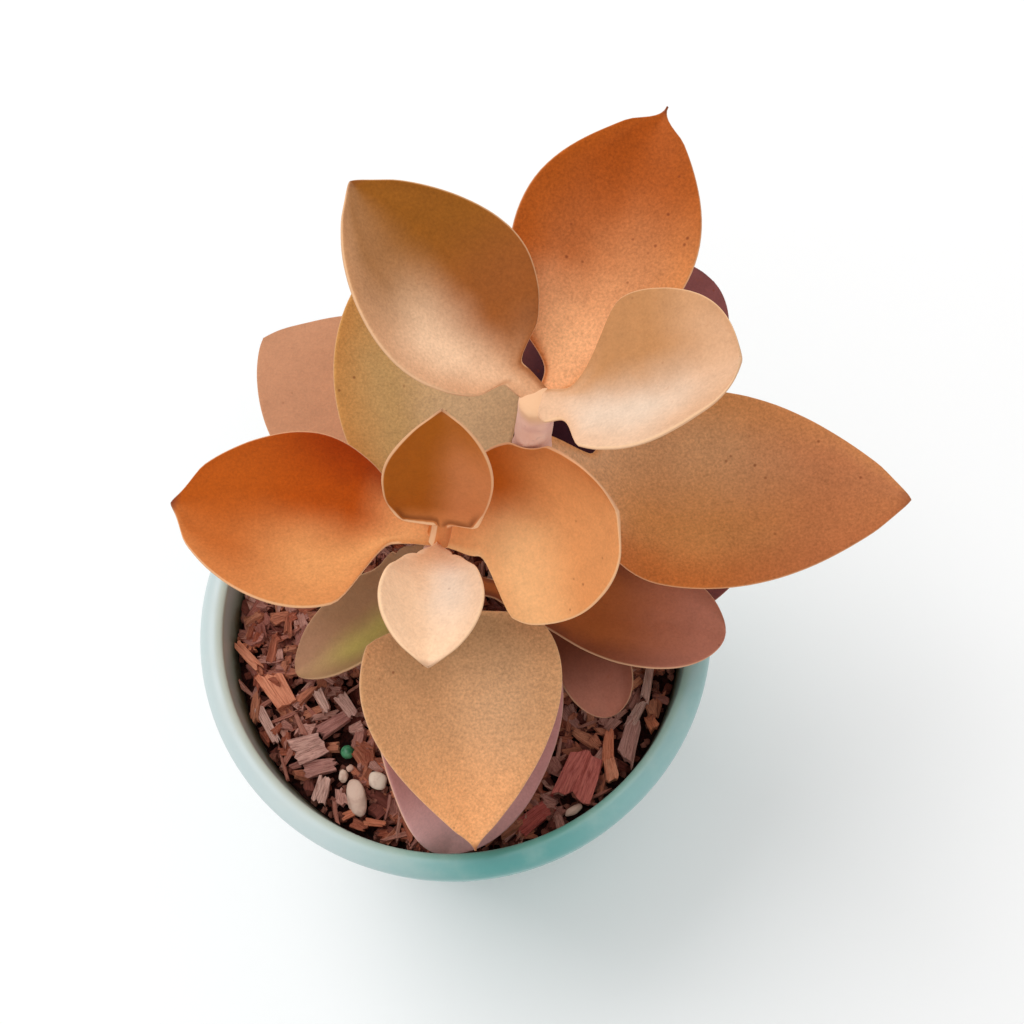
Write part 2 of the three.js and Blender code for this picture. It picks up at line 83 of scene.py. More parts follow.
MIX_DEPTH = 15.5
MIX_SWELL = 0.9
MIX_RIPPLE = 0.5
MIX_CLEARANCE = 0.35
MIX_GAP = 0.3
BED_DROP = 2.2
BED_LUMP = 2.2
BED_ROUGHNESS = 0.9
BED_RINGS = 48
BED_STEPS = 160
CRUMB_COUNT = 2000
CRUMB_SIZES = (0.8, 2.2)
CRUMB_LIFTS = (-0.6, 1.2)
CHIP_SEED = 11
CHIP_RISE = 1.5
CHIP_MARGIN = 0.6
ROOM_AT_WALL = 0.5
ROOM_AT_STEM = 4.6
ROOM_AT_BEAD = 2.2
ROOM_AT_LEAF = 1

# How much of a chip's half length stays clear of the wall, a stem and a leaf, and how much of a shown
# chip's width other chips keep off. Then how bent, torn, split and worn a chip is, and the tilts, in
# radians, and the splits of crumbs and shown chips.

SHARE_AT_WALL = 0.3
SHARE_AT_STEM = 0.7
SHARE_AT_LEAF = 0.8
SHARE_OF_SHOWN = 0.3
CHIP_BEND = 0.25
TORN_ENDS = 1.4
SPLIT_STRANDS = 1.6
WORN_CORNERS = 0.5
STONE_LUMPS = 0.28
CRUMB_TILT = 1
CRUMB_CUTS = 1
SHOWN_TILT = 0.12
SHOWN_CUTS = 5

# The stems, in millimetres: their joints' swelling, the scar below each joint and the dome on top.

STEM_STEPS = 150
STEM_SIDES = 40
STEM_ROUGHNESS = 0.06
JOINT_SWELL = 0.35
JOINT_SPREAD = 3.4
SCAR_DEPTH = 0.15
SCAR_SPREAD = 0.8
SCAR_DROP = 1.28
DOME_HEIGHT = 1.6
DOME_STEPS = 6

# The leaves, in millimetres, with the steps of their grid.

LEAF_STEPS = 60
LEAF_COLUMNS = 36
PETIOLE_END = 2.4
PETIOLE_HALF_WIDTH = 1.9
PETIOLE_THICKNESS = 3.2
MARGIN_THICKNESS = 1
MARGIN_ROUND = 0.5
CREASE_FADE = 12
CORD_WIDTH = (0.4, 1.3)
LEAST_HALF_WIDTH = 0.25
BROAD_HALF_WIDTH = (4, 12)
LEAF_SWELL = 0.5
LEAF_DIMPLE = 0.13
STEM_CLEARANCE = 0.5
EASED_INSIDE = 2
EASED_OUTSIDE = 1.5

# The leaves, as shares: of the grid's steps, of a leaf's or petiole's length, of the width and of the
# thickness. Then how far their margin's wave turns along the leaf and across it, in radians.

PETIOLE_SHARE = 0.12
CORD_END = (0.22, 0.36)
FOOT_FADE = 0.35
THROAT_FADE = 0.25
BEAK_START = 0.9
TIP_START = 0.8
PETIOLE_FADE = (0.6, 1.8)
PETIOLE_CREASE = 0.6
CREASE = 0.07
PETIOLE_SIDE = 0.45
TIP_THINNING = 0.45
LEAST_THICKNESS = 0.08
WAVE_TURN = 13
WAVE_SLANT = 2.1

# The light and the paper under the pot, in metres, with what the key and the surround each give
# white paper, where 1 is white.

KEY_PLACE = (-0.8, 0.75, 2.2)
KEY_AIM = (0, 0, 0.12)
KEY_SIZE = 1.4
KEY_SHARE = 0.37
SURROUND = 0.77
PAPER_SIZE = 3

# The camera of the photograph, in millimetres and degrees.

CAMERA_PLACE = (18.2, -126.2, 518.0)
CAMERA_RISE = 68.7
CAMERA_ROLL = -5
CAMERA_LENS = 53.87
CAMERA_SENSOR = 36
CAMERA_NEAR = 10

# The two stems. Each follows a curve through three places, with heights counted from the rim, and
# ends at its crown, under its last leaves. Joints are the heights where leaves grow or grew.

Stem = namedtuple("Stem", "foot bend top foot_radius top_radius crown joints")
STEMS = {
    "front": Stem((-3, 4, -52), (-3, 3, 10), (-1, 1, 58), 4.4, 2.6, 48.4, (4, 14, 26, 38, 50)),
    "back": Stem((7, 7, -50), (22, 18.5, 26), (26, 22, 86), 5, 4.2, 84.8, (4, 20, 34, 48, 64)),
}


def tone(red, green, blue):
    """A colour from its screen values, 0 to 255."""
    def linear(value):
        value /= 255
        return value / 12.92 if value <= 0.04045 else ((value + 0.055) / 1.055) ** 2.4
    return (linear(red), linear(green), linear(blue), 1)


# Felt colours of the leaves, from young to old. Several darker ones also serve as painted shade, and
# the last one is painted shade only.

CREAM = tone(232, 206, 182)
MILK = tone(244, 204, 166)
PEACH = tone(230, 186, 150)
DARK_PEACH = tone(222, 174, 136)
BLUSH = tone(248, 206, 168)
FAWN = tone(222, 166, 124)
APRICOT = tone(246, 186, 128)
PALE_APRICOT = tone(248, 182, 130)
SAND = tone(206, 136, 88)
AMBER = tone(218, 142, 84)
PALE_AMBER = tone(232, 162, 104)
LIT_AMBER = tone(226, 154, 94)
TANGERINE = tone(244, 172, 114)
HONEY = tone(218, 168, 124)
DARK_HONEY = tone(192, 136, 88)
TAN = tone(206, 152, 106)
BISCUIT = tone(162, 122, 84)
WHEAT = tone(224, 174, 130)
OLIVE_TAN = tone(192, 154, 100)
GREY_TAN = tone(200, 166, 126)
KHAKI = tone(200, 138, 72)
COPPER = tone(184, 88, 24)
SIENNA = tone(204, 126, 76)
GINGER = tone(206, 138, 80)
CLAY = tone(230, 152, 94)
CHESTNUT = tone(184, 104, 56)
BURNT = tone(174, 74, 12)
RUST = tone(142, 44, 2)
UMBER = tone(170, 92, 24)
DARK_UMBER = tone(154, 87, 40)
MAPLE = tone(194, 104, 46)
RUSSET = tone(178, 106, 66)
OLIVE_BROWN = tone(152, 92, 28)
SPICE = tone(180, 88, 22)
CINNAMON = tone(164, 72, 8)
MOSS = tone(182, 162, 90)
TAUPE = tone(156, 115, 83)
DUST = tone(184, 138, 108)
COCOA = tone(166, 92, 48)
DARK_COCOA = tone(118, 62, 42)
ROSE = tone(194, 128, 108)
MAUVE_TAN = tone(196, 140, 106)
MAUVE = tone(190, 134, 130)
PALE_MAUVE = tone(236, 184, 180)
PLUM = tone(122, 70, 68)
# Painted shade: near-black plum for the foot of a leaf that lies in deep shade between the stems.
PAINTED_SHADE_PLUM = tone(44, 18, 32)

# The leaves. Each grows from a stem's axis at a height above the rim. Azimuth is counted from +X
# towards +Y and rise from the horizontal, both for the line from the axis to the leaf's tip. Fold is
# the slope of each half at the midrib, cup what it gains up to the margin, and roll lifts the left
# margin, seen from the stem. Sag lowers the middle of the midrib and sway moves it to the left, as a
# share of the length. Shoulder and point are low for a round end of the blade and high for a sharp
# one. Neck and throat are half the petiole's width at the stem and where the blade starts, and flare
# is the share of the blade over which it opens, each for the right half and the left. Beak draws the
# last of the tip out, and wave ripples the margin, in millimetres. Foot moves the petiole's start off
# the stem's axis, lean is the share by which the left half is the wider one, and cord thickens the
# margin round the base, in millimetres.

Leaf = namedtuple(
    "Leaf",
    "stem height azimuth rise length width thickness petiole widest fold cup roll shoulder point "
    "sag sway neck throat flare beak wave foot lean cord",
    defaults=(0, 0, (3, 3), (3, 3), (0.1, 0.1), 0, 0.5, (0, 0, 0), 0, 0),
)
LEAVES = {
    "leaf_front_top_far": Leaf(
        stem="front", height=55, azimuth=70, rise=66, length=43, width=27, thickness=1.8,
        petiole=7, widest=0.48, fold=12, cup=18, roll=12, shoulder=0.14, point=0.74, sag=0.01, sway=-0.04,
        neck=(3, 2), throat=(3, 2), flare=(0.06, 0.015), beak=0.2, wave=0.2,
        foot=(0.8, 0.5, 0), lean=0.12, cord=0.9),
    "leaf_front_top_near": Leaf(
        stem="front", height=55, azimuth=-93, rise=29, length=41, width=28, thickness=1.8,
        petiole=8, widest=0.58, fold=18, cup=30, roll=-6, shoulder=0.3, point=0.66, sag=-0.09,
        neck=(1, 1), throat=(5, 5), flare=(0.02, 0.02), beak=0.2, wave=0.2, foot=(0.8, -0.4, 0.2)),
    "leaf_front_left": Leaf(
        stem="front", height=50, azimuth=167, rise=9, length=64, width=48, thickness=2.2,
        petiole=7, widest=0.46, fold=10, cup=16, roll=4, shoulder=0.6, point=0.62, sag=0.02,
        neck=(5, 1.9), throat=(7, 1.9), flare=(0.05, 0.25), beak=0.5, wave=0.4, foot=(-1, 2.8, 0.8)),
    "leaf_front_right": Leaf(
        stem="front", height=50, azimuth=-6, rise=32, length=51, width=46, thickness=2.2,
        petiole=7, widest=0.38, fold=8, cup=11, roll=32, shoulder=0.35, point=0.34, sag=0.19, sway=-0.03,
        neck=(2, 6), throat=(5, 8), flare=(0.14, 0.05), wave=0.3, foot=(1, 2.4, 0.8)),
    "leaf_front_low_near": Leaf(
        stem="front", height=38, azimuth=-87, rise=-22, length=72, width=55, thickness=2.4,
        petiole=10, widest=0.3, fold=14, cup=20, roll=-12, shoulder=0.5, point=0.95, sway=0.01,
        beak=0.4),
    "leaf_front_low_far": Leaf(
        stem="front", height=38, azimuth=90.5, rise=9, length=88, width=51, thickness=2.4,
        petiole=10, widest=0.48, fold=13, cup=20, roll=4, shoulder=0.45, point=0.65, sag=0.03,
        beak=0.4, wave=0.6, lean=-0.065),
    "leaf_front_base_right": Leaf(
        stem="front", height=30, azimuth=-13, rise=-13.5, length=77, width=30, thickness=2.2,
        petiole=12, widest=0.66, fold=14, cup=22, roll=4, shoulder=0.58, point=0.55, sag=0.03, sway=-0.01,
        neck=(2.6, 2.6), throat=(2.6, 2.6), wave=1.4),
    "leaf_front_base_left": Leaf(
        stem="front", height=26, azimuth=-165, rise=-38, length=56, width=27, thickness=2,
        petiole=9, widest=0.38, fold=18, cup=28, roll=5, shoulder=0.5, point=0.6, sag=0.03, sway=-0.01,
        neck=(6, 2.4), throat=(11, 2.4), flare=(0.03, 0.1), wave=0.4, foot=(-1, 2.5, 7)),
    "leaf_front_base_near": Leaf(
        stem="front", height=14, azimuth=-94, rise=-22, length=69, width=55, thickness=2.2,
        petiole=8, widest=0.3, fold=12, cup=16, roll=-24, shoulder=0.4, point=0.5, sag=-0.1, sway=0.03),
    "leaf_back_top_left": Leaf(
        stem="back", height=84, azimuth=130, rise=27, length=64, width=46.5, thickness=2.2,
        petiole=7, widest=0.44, fold=16, cup=23, roll=3, shoulder=0.63, point=0.7, sag=0.03, sway=0.02,
        neck=(3.4, 3), throat=(4, 3.4), flare=(0.11, 0.06), beak=0.2, wave=0.4, foot=(0.7, 1, 0)),
    "leaf_back_top_right": Leaf(
        stem="back", height=84, azimuth=-7, rise=30, length=50, width=41.5, thickness=2.2,
        petiole=3.5, widest=0.51, fold=11, cup=15, roll=-8, shoulder=0.41, point=0.34, sag=0.04, sway=-0.02,
        neck=(3.6, 3.2), throat=(6.5, 3), flare=(0.24, 0.4), wave=0.3, foot=(0, 0.6, 0), lean=0.1),
    "leaf_back_top_far": Leaf(
        stem="back", height=78, azimuth=60.5, rise=17, length=78, width=45.5, thickness=2.2,
        petiole=6, widest=0.51, fold=13, cup=19, roll=6, shoulder=0.66, point=0.96, sway=0.008,
        neck=(4, 3), throat=(4.5, 2.4), flare=(0.05, 0.2), beak=0.8, foot=(1.2, 0.6, 0)),
    "leaf_back_low_right": Leaf(
        stem="back", height=48, azimuth=-9, rise=0, length=94, width=53, thickness=2.6,
        petiole=12, widest=0.36, fold=7, cup=8, roll=5, shoulder=0.48, point=0.7, sag=0.08, sway=0.01,
        neck=(6.5, 5), throat=(5, 3.6), flare=(0.1, 0.12), beak=0.2, wave=0.6, foot=(3, 1.6, 11)),
    "leaf_back_low_left": Leaf(
        stem="back", height=36, azimuth=138.5, rise=-8, length=90.5, width=55, thickness=2.4,
        petiole=12, widest=0.5, fold=4, cup=6, roll=4, shoulder=0.5, point=0.72, sag=0.04, sway=-0.01,
        neck=(3.4, 3.4), throat=(3.4, 3.4), wave=0.6),
    "leaf_back_base_far": Leaf(
        stem="back", height=28, azimuth=47, rise=0, length=86, width=56, thickness=2.2,
        petiole=12, widest=0.5, fold=12, cup=18, roll=9, shoulder=0.5, point=0.62, sag=-0.03, sway=0.04,
        lean=0.12),
    "leaf_back_base_right": Leaf(
        stem="back", height=19, azimuth=-9.5, rise=-12.5, length=65, width=34, thickness=2,
        petiole=10, widest=0.6, fold=4, cup=6, roll=7, shoulder=0.5, point=1, sag=0.05,
        neck=(2.4, 2.4), throat=(2.4, 2.4)),
    "leaf_back_base_near": Leaf(
        stem="back", height=4, azimuth=-63, rise=-10, length=51, width=22, thickness=2,
        petiole=8, widest=0.68, fold=15, cup=23, roll=0, shoulder=0.5, point=0.45, sag=0.02, sway=0.08,
        neck=(2.2, 2.2), throat=(2.2, 2.2), wave=0.6),
}

# The felt of each leaf: tones of its foot, its halves, their margins and its tip, the width of its
# pale rim in millimetres, where the left tone takes over across the leaf, how far along the foot's
# tone reaches and the tip's starts, and how coarse the felt looks. On the upper leaves the two halves'
# tones are partly the felt's own colour and partly painted shade: the half that faces away from the
# light is given the darker tone.

Felt = namedtuple(
    "Felt", "slot foot left right left_edge right_edge tip rim split foot_end tip_start grain",
    defaults=(0.2, 0, 0.34, 0.55, 0.3),
)


def even_felt(slot, hue, **others):
    """Felt of one colour all over, apart from the others given."""
    hues = dict.fromkeys(("foot", "left", "right", "left_edge", "right_edge", "tip"), hue)
    return Felt(slot, **{**hues, **others})


FELTS = {
    # Painted shade: the left half is given the darker tone, as it faces away from the light.
    "leaf_front_top_far": Felt(
        "leaf_copper", foot=CLAY, left=UMBER, right=SIENNA,
        left_edge=UMBER, right_edge=SIENNA, tip=UMBER, rim=0.4, grain=0.2),
    "leaf_front_top_near": Felt(
        "leaf_peach", foot=FAWN, left=CREAM, right=MILK,
        left_edge=PEACH, right_edge=MILK, tip=BLUSH, rim=0.35, foot_end=0.45),
    # Painted shade: the right half and its margin face away from the light and get burnt and rust tones.
    "leaf_front_left": Felt(
        "leaf_copper", foot=PALE_AMBER, left=LIT_AMBER, right=BURNT,
        left_edge=AMBER, right_edge=RUST, tip=COPPER, rim=0.35, tip_start=0.42, grain=0.5),
    # Painted shade: the left half gets the darker spice tone, for its slope away from the light and the
    # shadow cast on it by leaf_front_top_far.
    "leaf_front_right": Felt(
        "leaf_copper", foot=CLAY, left=SPICE, right=APRICOT,
        left_edge=SPICE, right_edge=APRICOT, tip=AMBER, rim=0.45, split=0.2, tip_start=0.32),
    "leaf_front_low_near": Felt(
        "leaf_olive", foot=BISCUIT, left=HONEY, right=TAN,
        left_edge=TAN, right_edge=TAN, tip=TANGERINE, rim=0.15, foot_end=0.5, tip_start=0.5, grain=0.9),
    "leaf_front_low_far": Felt(
        "leaf_olive", foot=GREY_TAN, left=OLIVE_TAN, right=GREY_TAN,
        left_edge=KHAKI, right_edge=GREY_TAN, tip=KHAKI, rim=0.15, grain=0.7),
    "leaf_front_base_right": even_felt(
        "leaf_mauve", COCOA, left_edge=DARK_COCOA, right_edge=DARK_COCOA, tip=ROSE),
    "leaf_front_base_left": even_felt("leaf_green", TAUPE, left=MOSS, tip=DUST),
    "leaf_front_base_near": even_felt("leaf_mauve", MAUVE, tip=PALE_MAUVE, tip_start=0.6),
    # Painted shade: the right half and its margin get the dark umber tone, as they face away from the
    # light.
    "leaf_back_top_left": Felt(
        "leaf_olive", foot=FAWN, left=BLUSH, right=DARK_UMBER,
        left_edge=FAWN, right_edge=DARK_UMBER, tip=OLIVE_BROWN, rim=0.3, tip_start=0.36, grain=0.5),
    # Painted shade: the left half and its margin get the dark honey tone, as they face away from the light.
    "leaf_back_top_right": Felt(
        "leaf_peach", foot=PEACH, left=DARK_HONEY, right=CREAM,
        left_edge=DARK_HONEY, right_edge=PEACH, tip=DARK_PEACH, rim=0.4),
    # Painted shade: the left half gets the darker chestnut tone, as it faces away from the light.
    "leaf_back_top_far": Felt(
        "leaf_copper", foot=PALE_APRICOT, left=CHESTNUT, right=SAND,
        left_edge=SPICE, right_edge=AMBER, tip=CINNAMON, foot_end=0.5, tip_start=0.42, grain=0.8),
    "leaf_back_low_right": Felt(
        "leaf_copper", foot=WHEAT, left=TAN, right=GINGER,
        left_edge=GINGER, right_edge=MAPLE, tip=RUSSET, tip_start=0.42, grain=0.8),
    "leaf_back_low_left": even_felt("leaf_mauve", MAUVE_TAN),
    # Painted shade: the foot of this leaf, in deep shade under the upper leaves, is near-black plum.
    "leaf_back_base_far": even_felt("leaf_plum", PLUM, foot=PAINTED_SHADE_PLUM, foot_end=0.7),
    "leaf_back_base_right": even_felt("leaf_plum", PLUM),
    "leaf_back_base_near": even_felt("leaf_mauve", DARK_COCOA, tip=ROSE),
}


def lerp(low, high, share):
    return low + (high - low) * share


def smooth(value, low, high):
    """0 below low, 1 above high and a soft step between."""
    share = min(max((value - low) / (high - low), 0), 1)
    return share * share * (3 - 2 * share)


# Shader words.

class Wire:
    """A shader socket that adds Math nodes when it is used in an expression."""

    def __init__(self, finish, socket):
        self.finish = finish
        self.socket = socket

    def math(self, operation, *values):
        return self.finish.node("ShaderNodeMath", {"operation": operation}, dict(enumerate(values)))

    def __add__(self, other):
        return self.math("ADD", self, other)

    __radd__ = __add__

    def __sub__(self, other):
        return self.math("SUBTRACT", self, other)

    def __rsub__(self, other):
        return self.math("SUBTRACT", other, self)

    def __mul__(self, other):
        return self.math("MULTIPLY", self, other)

    __rmul__ = __mul__

    def __pow__(self, other):
        return self.math("POWER", self, other)

    def step(self, low, high):
        """A soft step from 0 at low to 1 at high."""
        settings = {"interpolation_type": "SMOOTHSTEP"}
        return self.finish.node("ShaderNodeMapRange", settings, {0: self, 1: low, 2: high})

    def step_mm(self, low, high):
        """The same between two places in millimetres."""
        return self.step(low * MM, high * MM)


class Finish:
    """A material under way: one shader, and the nodes that feed it."""

    def __init__(self, name, **constants):
        self.material = bpy.data.materials.new(name)
        self.material.use_nodes = True
        self.tree = self.material.node_tree
        self.shader = self.tree.nodes["Principled BSDF"]
        for socket, value in constants.items():
            self.shader.inputs[socket.replace("_", " ")].default_value = value

    def node(self, kind, settings=None, values=None, output=0):
        """A node with its settings made first, then its sockets given values or wires."""
        made = self.tree.nodes.new(kind)
        for name, value in (settings or {}).items():
            setattr(made, name, value)
        for name, value in (values or {}).items():
            self.feed(made.inputs[name], value)
        return Wire(self, made.outputs[output])

    def feed(self, socket, value):
        if isinstance(value, Wire):
            self.tree.links.new(value.socket, socket)
        else:
            socket.default_value = value

    def set(self, **wires):
        for socket, wire in wires.items():
            self.feed(self.shader.inputs[socket.replace("_", " ")], wire)
        return self.material

    def attribute(self, name):
        return self.node("ShaderNodeAttribute", {"attribute_name": name}, output="Fac")

    def place(self):
        return self.node("ShaderNodeTexCoord", output="Object")

    def noise(self, scale, detail=3, vector=None, roughness=0.6, distortion=0):
        values = {
            "Vector": vector or self.place(),
            "Scale": scale,
            "Detail": detail,
            "Roughness": roughness,
            "Distortion": distortion,
        }
        return self.node("ShaderNodeTexNoise", {}, values)

    def mix(self, share, first, second, blend="MIX"):
        """Two colours, the second by its share."""
        settings = {"data_type": "RGBA", "blend_type": blend, "clamp_factor": True}
        return self.node("ShaderNodeMix", settings, {0: share, 6: first, 7: second}, output=2)

    def bump(self, height, distance, strength=1):
        values = {"Height": height, "Distance": distance, "Strength": strength}
        return self.node("ShaderNodeBump", {}, values)


# Finishes.

TIP_BROWN = tone(120, 58, 40)
SPECK_BROWN = tone(112, 50, 30)
SHADE_BROWN = tone(104, 52, 24)
HAIR_PALE = tone(255, 226, 188)
HAIR_RUST = tone(140, 70, 30)
MARGIN_PALE = tone(252, 206, 160)
UNDERSIDE = tone(214, 168, 132)


def leaf_felt(name, look, leaf):
    """Felt of very fine hairs over a skin whose colour turns from foot to tip and from side to side."""
    felt = Finish(
        "felt_" + name, Sheen_Weight=0.03, Sheen_Roughness=0.5, Sheen_Tint=HAIR_PALE,
        Specular_IOR_Level=0.08)
    along = felt.attribute("along")
    across = felt.attribute("across")
    inset = felt.attribute("inset")
    drift = (felt.noise(55, 2) - 0.5) * 0.35
    aside = across + drift
    ahead = along + drift * 0.3
    # The halves' tones; where one half is darker, this is partly the felt's colour and partly painted
    # shade.
    skin = felt.mix((aside - look.split).step(-0.4, 0.4), look.right, look.left)
    skin = felt.mix((1 - ahead.step(look.foot_end - 0.28, look.foot_end)) * 0.9, skin, look.foot)
    skin = felt.mix(aside.step(0.4, 1) * 0.8, skin, look.left_edge)
    skin = felt.mix((drift - across).step(0.4, 1) * 0.8, skin, look.right_edge)
    held = 1 - aside.step(0.5, 1) * 0.4
    skin = felt.mix(ahead.step(look.tip_start, look.tip_start + 0.4) * held * 0.85, skin, look.tip)

    # Tufts of hair, the grain of the felt and its cloudy blotches.
    tufts = felt.noise(1500, 2)
    grain = felt.noise(420, 4, roughness=0.7)
    blotch = felt.noise(120, 3)
    shade = 0.75 - look.grain * 0.5 + tufts * look.grain + grain * 0.3 + blotch * 0.2
    skin = felt.mix(1, skin, shade, "MULTIPLY")
    skin = felt.mix(grain.step(0.58, 0.8) * 0.22, skin, HAIR_RUST)

    # Small brown specks, here and there.
    cells = felt.node("ShaderNodeTexVoronoi", {}, {"Vector": felt.place(), "Scale": 230})
    chosen = felt.noise(31, 1).step(0.56, 0.62)
    skin = felt.mix((1 - cells.step(0.04, 0.13)) * chosen * 0.6, skin, SPECK_BROWN)

    # The pale rim of the blade, wide and in relief where it is corded, with painted shade inside it.
    petiole = leaf.petiole / leaf.length
    stalk = 1 - along.step(petiole * 0.9, petiole * 1.1)
    rim_width = look.rim
    if leaf.cord:
        low = 1 - along.step(*CORD_END)
        rim_width = look.rim + low * leaf.cord * 0.8
        hollow = (inset - rim_width).step(0, 0.5) * (1 - (inset - rim_width).step(0.6, 2.4))
        skin = felt.mix(hollow * low * (1 - stalk) * 0.6, skin, SHADE_BROWN)
        stalk = stalk * (1 - across.step(0.2, 0.4))
    rim = (1 - (inset - rim_width).step(-0.3, 0)) * (1 - stalk)
    if leaf.cord:
        rim = rim * (1 + low * 0.7)
    skin = felt.mix(rim * 0.55, skin, MARGIN_PALE)

    # The brown beak, and the dull lower face.
    skin = felt.mix(along.step(0.96, 1) * min(leaf.beak * 2, 0.85), skin, TIP_BROWN)
    skin = felt.mix((1 - felt.attribute("upper")) * 0.6, skin, UNDERSIDE)
    relief = felt.bump(tufts + grain * 0.8, 0.2 * MM, 0.4)
    return felt.set(Base_Color=skin, Roughness=0.8 + (grain - 0.5) * 0.2, Normal=relief)


def stem_felt(name):
    """Pale rosy felt, darker and corky toward the foot and in the rings of old leaf scars."""
    felt = Finish("felt_" + name, Sheen_Weight=0.2, Sheen_Roughness=0.5, Specular_IOR_Level=0.25)
    height = felt.attribute("along")
    scar = felt.attribute("scar")
    grain = felt.noise(620, 4)
    cloud = felt.noise(110, 2)
    skin = felt.mix(cloud.step(0.35, 0.65), tone(246, 200, 178), tone(226, 174, 158))
    skin = felt.mix((1 - height.step(0.3, 0.75)) * 0.8, skin, tone(150, 112, 92))
    skin = felt.mix(scar * (0.3 + grain * 0.5), skin, tone(126, 84, 76))
    skin = felt.mix(grain.step(0.55, 0.8) * 0.3, skin, tone(150, 104, 92))
    skin = felt.mix(height.step(0.955, 0.985), skin, tone(240, 192, 150))
    return felt.set(Base_Color=skin, Roughness=0.8, Normal=felt.bump(grain + cloud, 0.4 * MM, 0.5))


def pot_plastic():
    """Moulded satin teal plastic, dusty on the lip, stained inside, with painted light on its sides and
    painted shade inside.
    """
    plastic = Finish("teal_plastic", Specular_IOR_Level=0.5, Coat_Roughness=0.25)
    place = plastic.place()
    x, y, z = (plastic.node("ShaderNodeSeparateXYZ", {}, {0: place}, output=axis) for axis in "XYZ")
    radius = (x * x + y * y) ** 0.5
    flow = plastic.noise(26, 3, distortion=0.6)
    fine = plastic.noise(900, 3)
    body = plastic.mix(flow.step(0.3, 0.7), tone(84, 154, 150), tone(96, 162, 156))
    # Painted reflection: the outer slope on the near right is paled, as if it mirrored the white surround.
    right = x * 0.94 - y * 0.34
    body = plastic.mix(right.step_mm(38, 68), body, tone(142, 182, 181))
    # Painted highlight: the left side is paled where the key light falls strongly on it.
    left = y * -0.26 - x * 0.97
    body = plastic.mix(left.step_mm(12, 58), body, tone(194, 210, 210))
    crown = 1 - radius.step_mm(LIP_CROWN_RADIUS - 1.6, LIP_CROWN_RADIUS + 0.4)
    crown = crown * z.step_mm(POT_HEIGHT - 3.5, POT_HEIGHT - 1.5)
    body = plastic.mix(crown, body, tone(255, 251, 238), "MULTIPLY")
    dust = plastic.noise(90, 4).step(0.4, 0.8) * z.step_mm(POT_HEIGHT - 8, POT_HEIGHT - 0.5)
    body = plastic.mix(dust * 0.15, body, tone(222, 224, 214))
    taper = (wall_radius(POT_HEIGHT) - wall_radius(0)) / POT_HEIGHT
    wall = z * taper + (wall_radius(0) - WALL / 2) * MM
    inside = (wall - radius).step_mm(-0.3, 0.3) * z.step_mm(FLOOR, FLOOR + 1)
    inside = inside * (1 - radius.step_mm(LIP_INNER_RADIUS - 1.2, LIP_INNER_RADIUS + 0.2))
    stain = plastic.noise(160, 5) * 0.7 + (1 - z.step_mm(POT_HEIGHT - 16, POT_HEIGHT - 3)) * 0.55
    # Painted shade: the inner wall is darkened to a dull green, as it lies in shade.
    body = plastic.mix(inside * 0.75, body, tone(90, 122, 92))
    body = plastic.mix(inside * stain.step(0.5, 0.95), body, tone(92, 84, 60))
    rough = 0.34 + fine * 0.1 + dust * 0.25 + inside * 0.25
    relief = plastic.bump(fine + flow * 2, 0.05 * MM, 0.4)
    return plastic.set(Base_Color=body, Roughness=rough, Coat_Weight=0.25, Normal=relief)


def bark(name, dark, middle, light):
    """Broken bark: each chip in a shade of its own, with fibres along its length."""
    wood = Finish(name, Specular_IOR_Level=0.2)
    shade = wood.attribute("shade")
    chart = wood.node("ShaderNodeTexCoord", output="UV")
    stretch = wood.node("ShaderNodeMapping", {}, {"Vector": chart, "Scale": (2.2, 16, 1)})
    fibre = wood.noise(1, 5, vector=stretch, roughness=0.7, distortion=0.4)
    grit = wood.noise(900, 3)
    body = wood.mix(shade, middle, light)
    body = wood.mix((1 - fibre.step(0.3, 0.62)) * 0.75, body, dark)
    body = wood.mix(grit.step(0.55, 0.8) * 0.3, body, light)
    relief = wood.bump(fibre + grit * 0.4, 0.5 * MM, 0.8)
    return wood.set(Base_Color=body, Roughness=0.9, Normal=relief)


def bed_crumb():
    """Fine damp crumb between the chips, its near-black partly its own colour and partly painted shade."""
    crumb = Finish("crumb", Specular_IOR_Level=0.2)
    fine = crumb.noise(700, 5, roughness=0.75)
    body = crumb.mix(fine.step(0.35, 0.75), tone(28, 10, 8), tone(84, 38, 30))
    return crumb.set(Base_Color=body, Roughness=0.95, Normal=crumb.bump(fine, 0.8 * MM, 0.9))


def stone_grit():
    """Pale weathered grit with a chalky skin and a few iron stains."""
    grit = Finish("grit", Specular_IOR_Level=0.35)
    cloud = grit.noise(300, 4)
    pits = grit.noise(1600, 3)
    shade = grit.attribute("shade")
    body = grit.mix(shade, tone(214, 176, 158), tone(238, 216, 196))
    body = grit.mix(cloud.step(0.5, 0.75) * 0.5, body, tone(176, 128, 112))
    return grit.set(Base_Color=body, Roughness=0.7, Normal=grit.bump(pits + cloud, 0.3 * MM, 0.5))


def bead_coat():
    """Green resin coat, a little dusty."""
    coat = Finish("bead_coat", Specular_IOR_Level=0.5, Coat_Roughness=0.3)
    cloud = coat.noise(500, 3)
    body = coat.mix(cloud.step(0.35, 0.7), tone(30, 112, 72), tone(92, 164, 118))
    return coat.set(Base_Color=body, Roughness=0.42, Coat_Weight=0.3, Normal=coat.bump(cloud, 0.1 * MM))


# Pieces.

def mesh_object(name, bm):
    """An object at the origin that holds a bmesh's shape."""
    mesh = bpy.data.meshes.new(name)
    bm.to_mesh(mesh)
    bm.free()
    made = bpy.data.objects.new(name, mesh)
    bpy.context.scene.collection.objects.link(made)
    return made


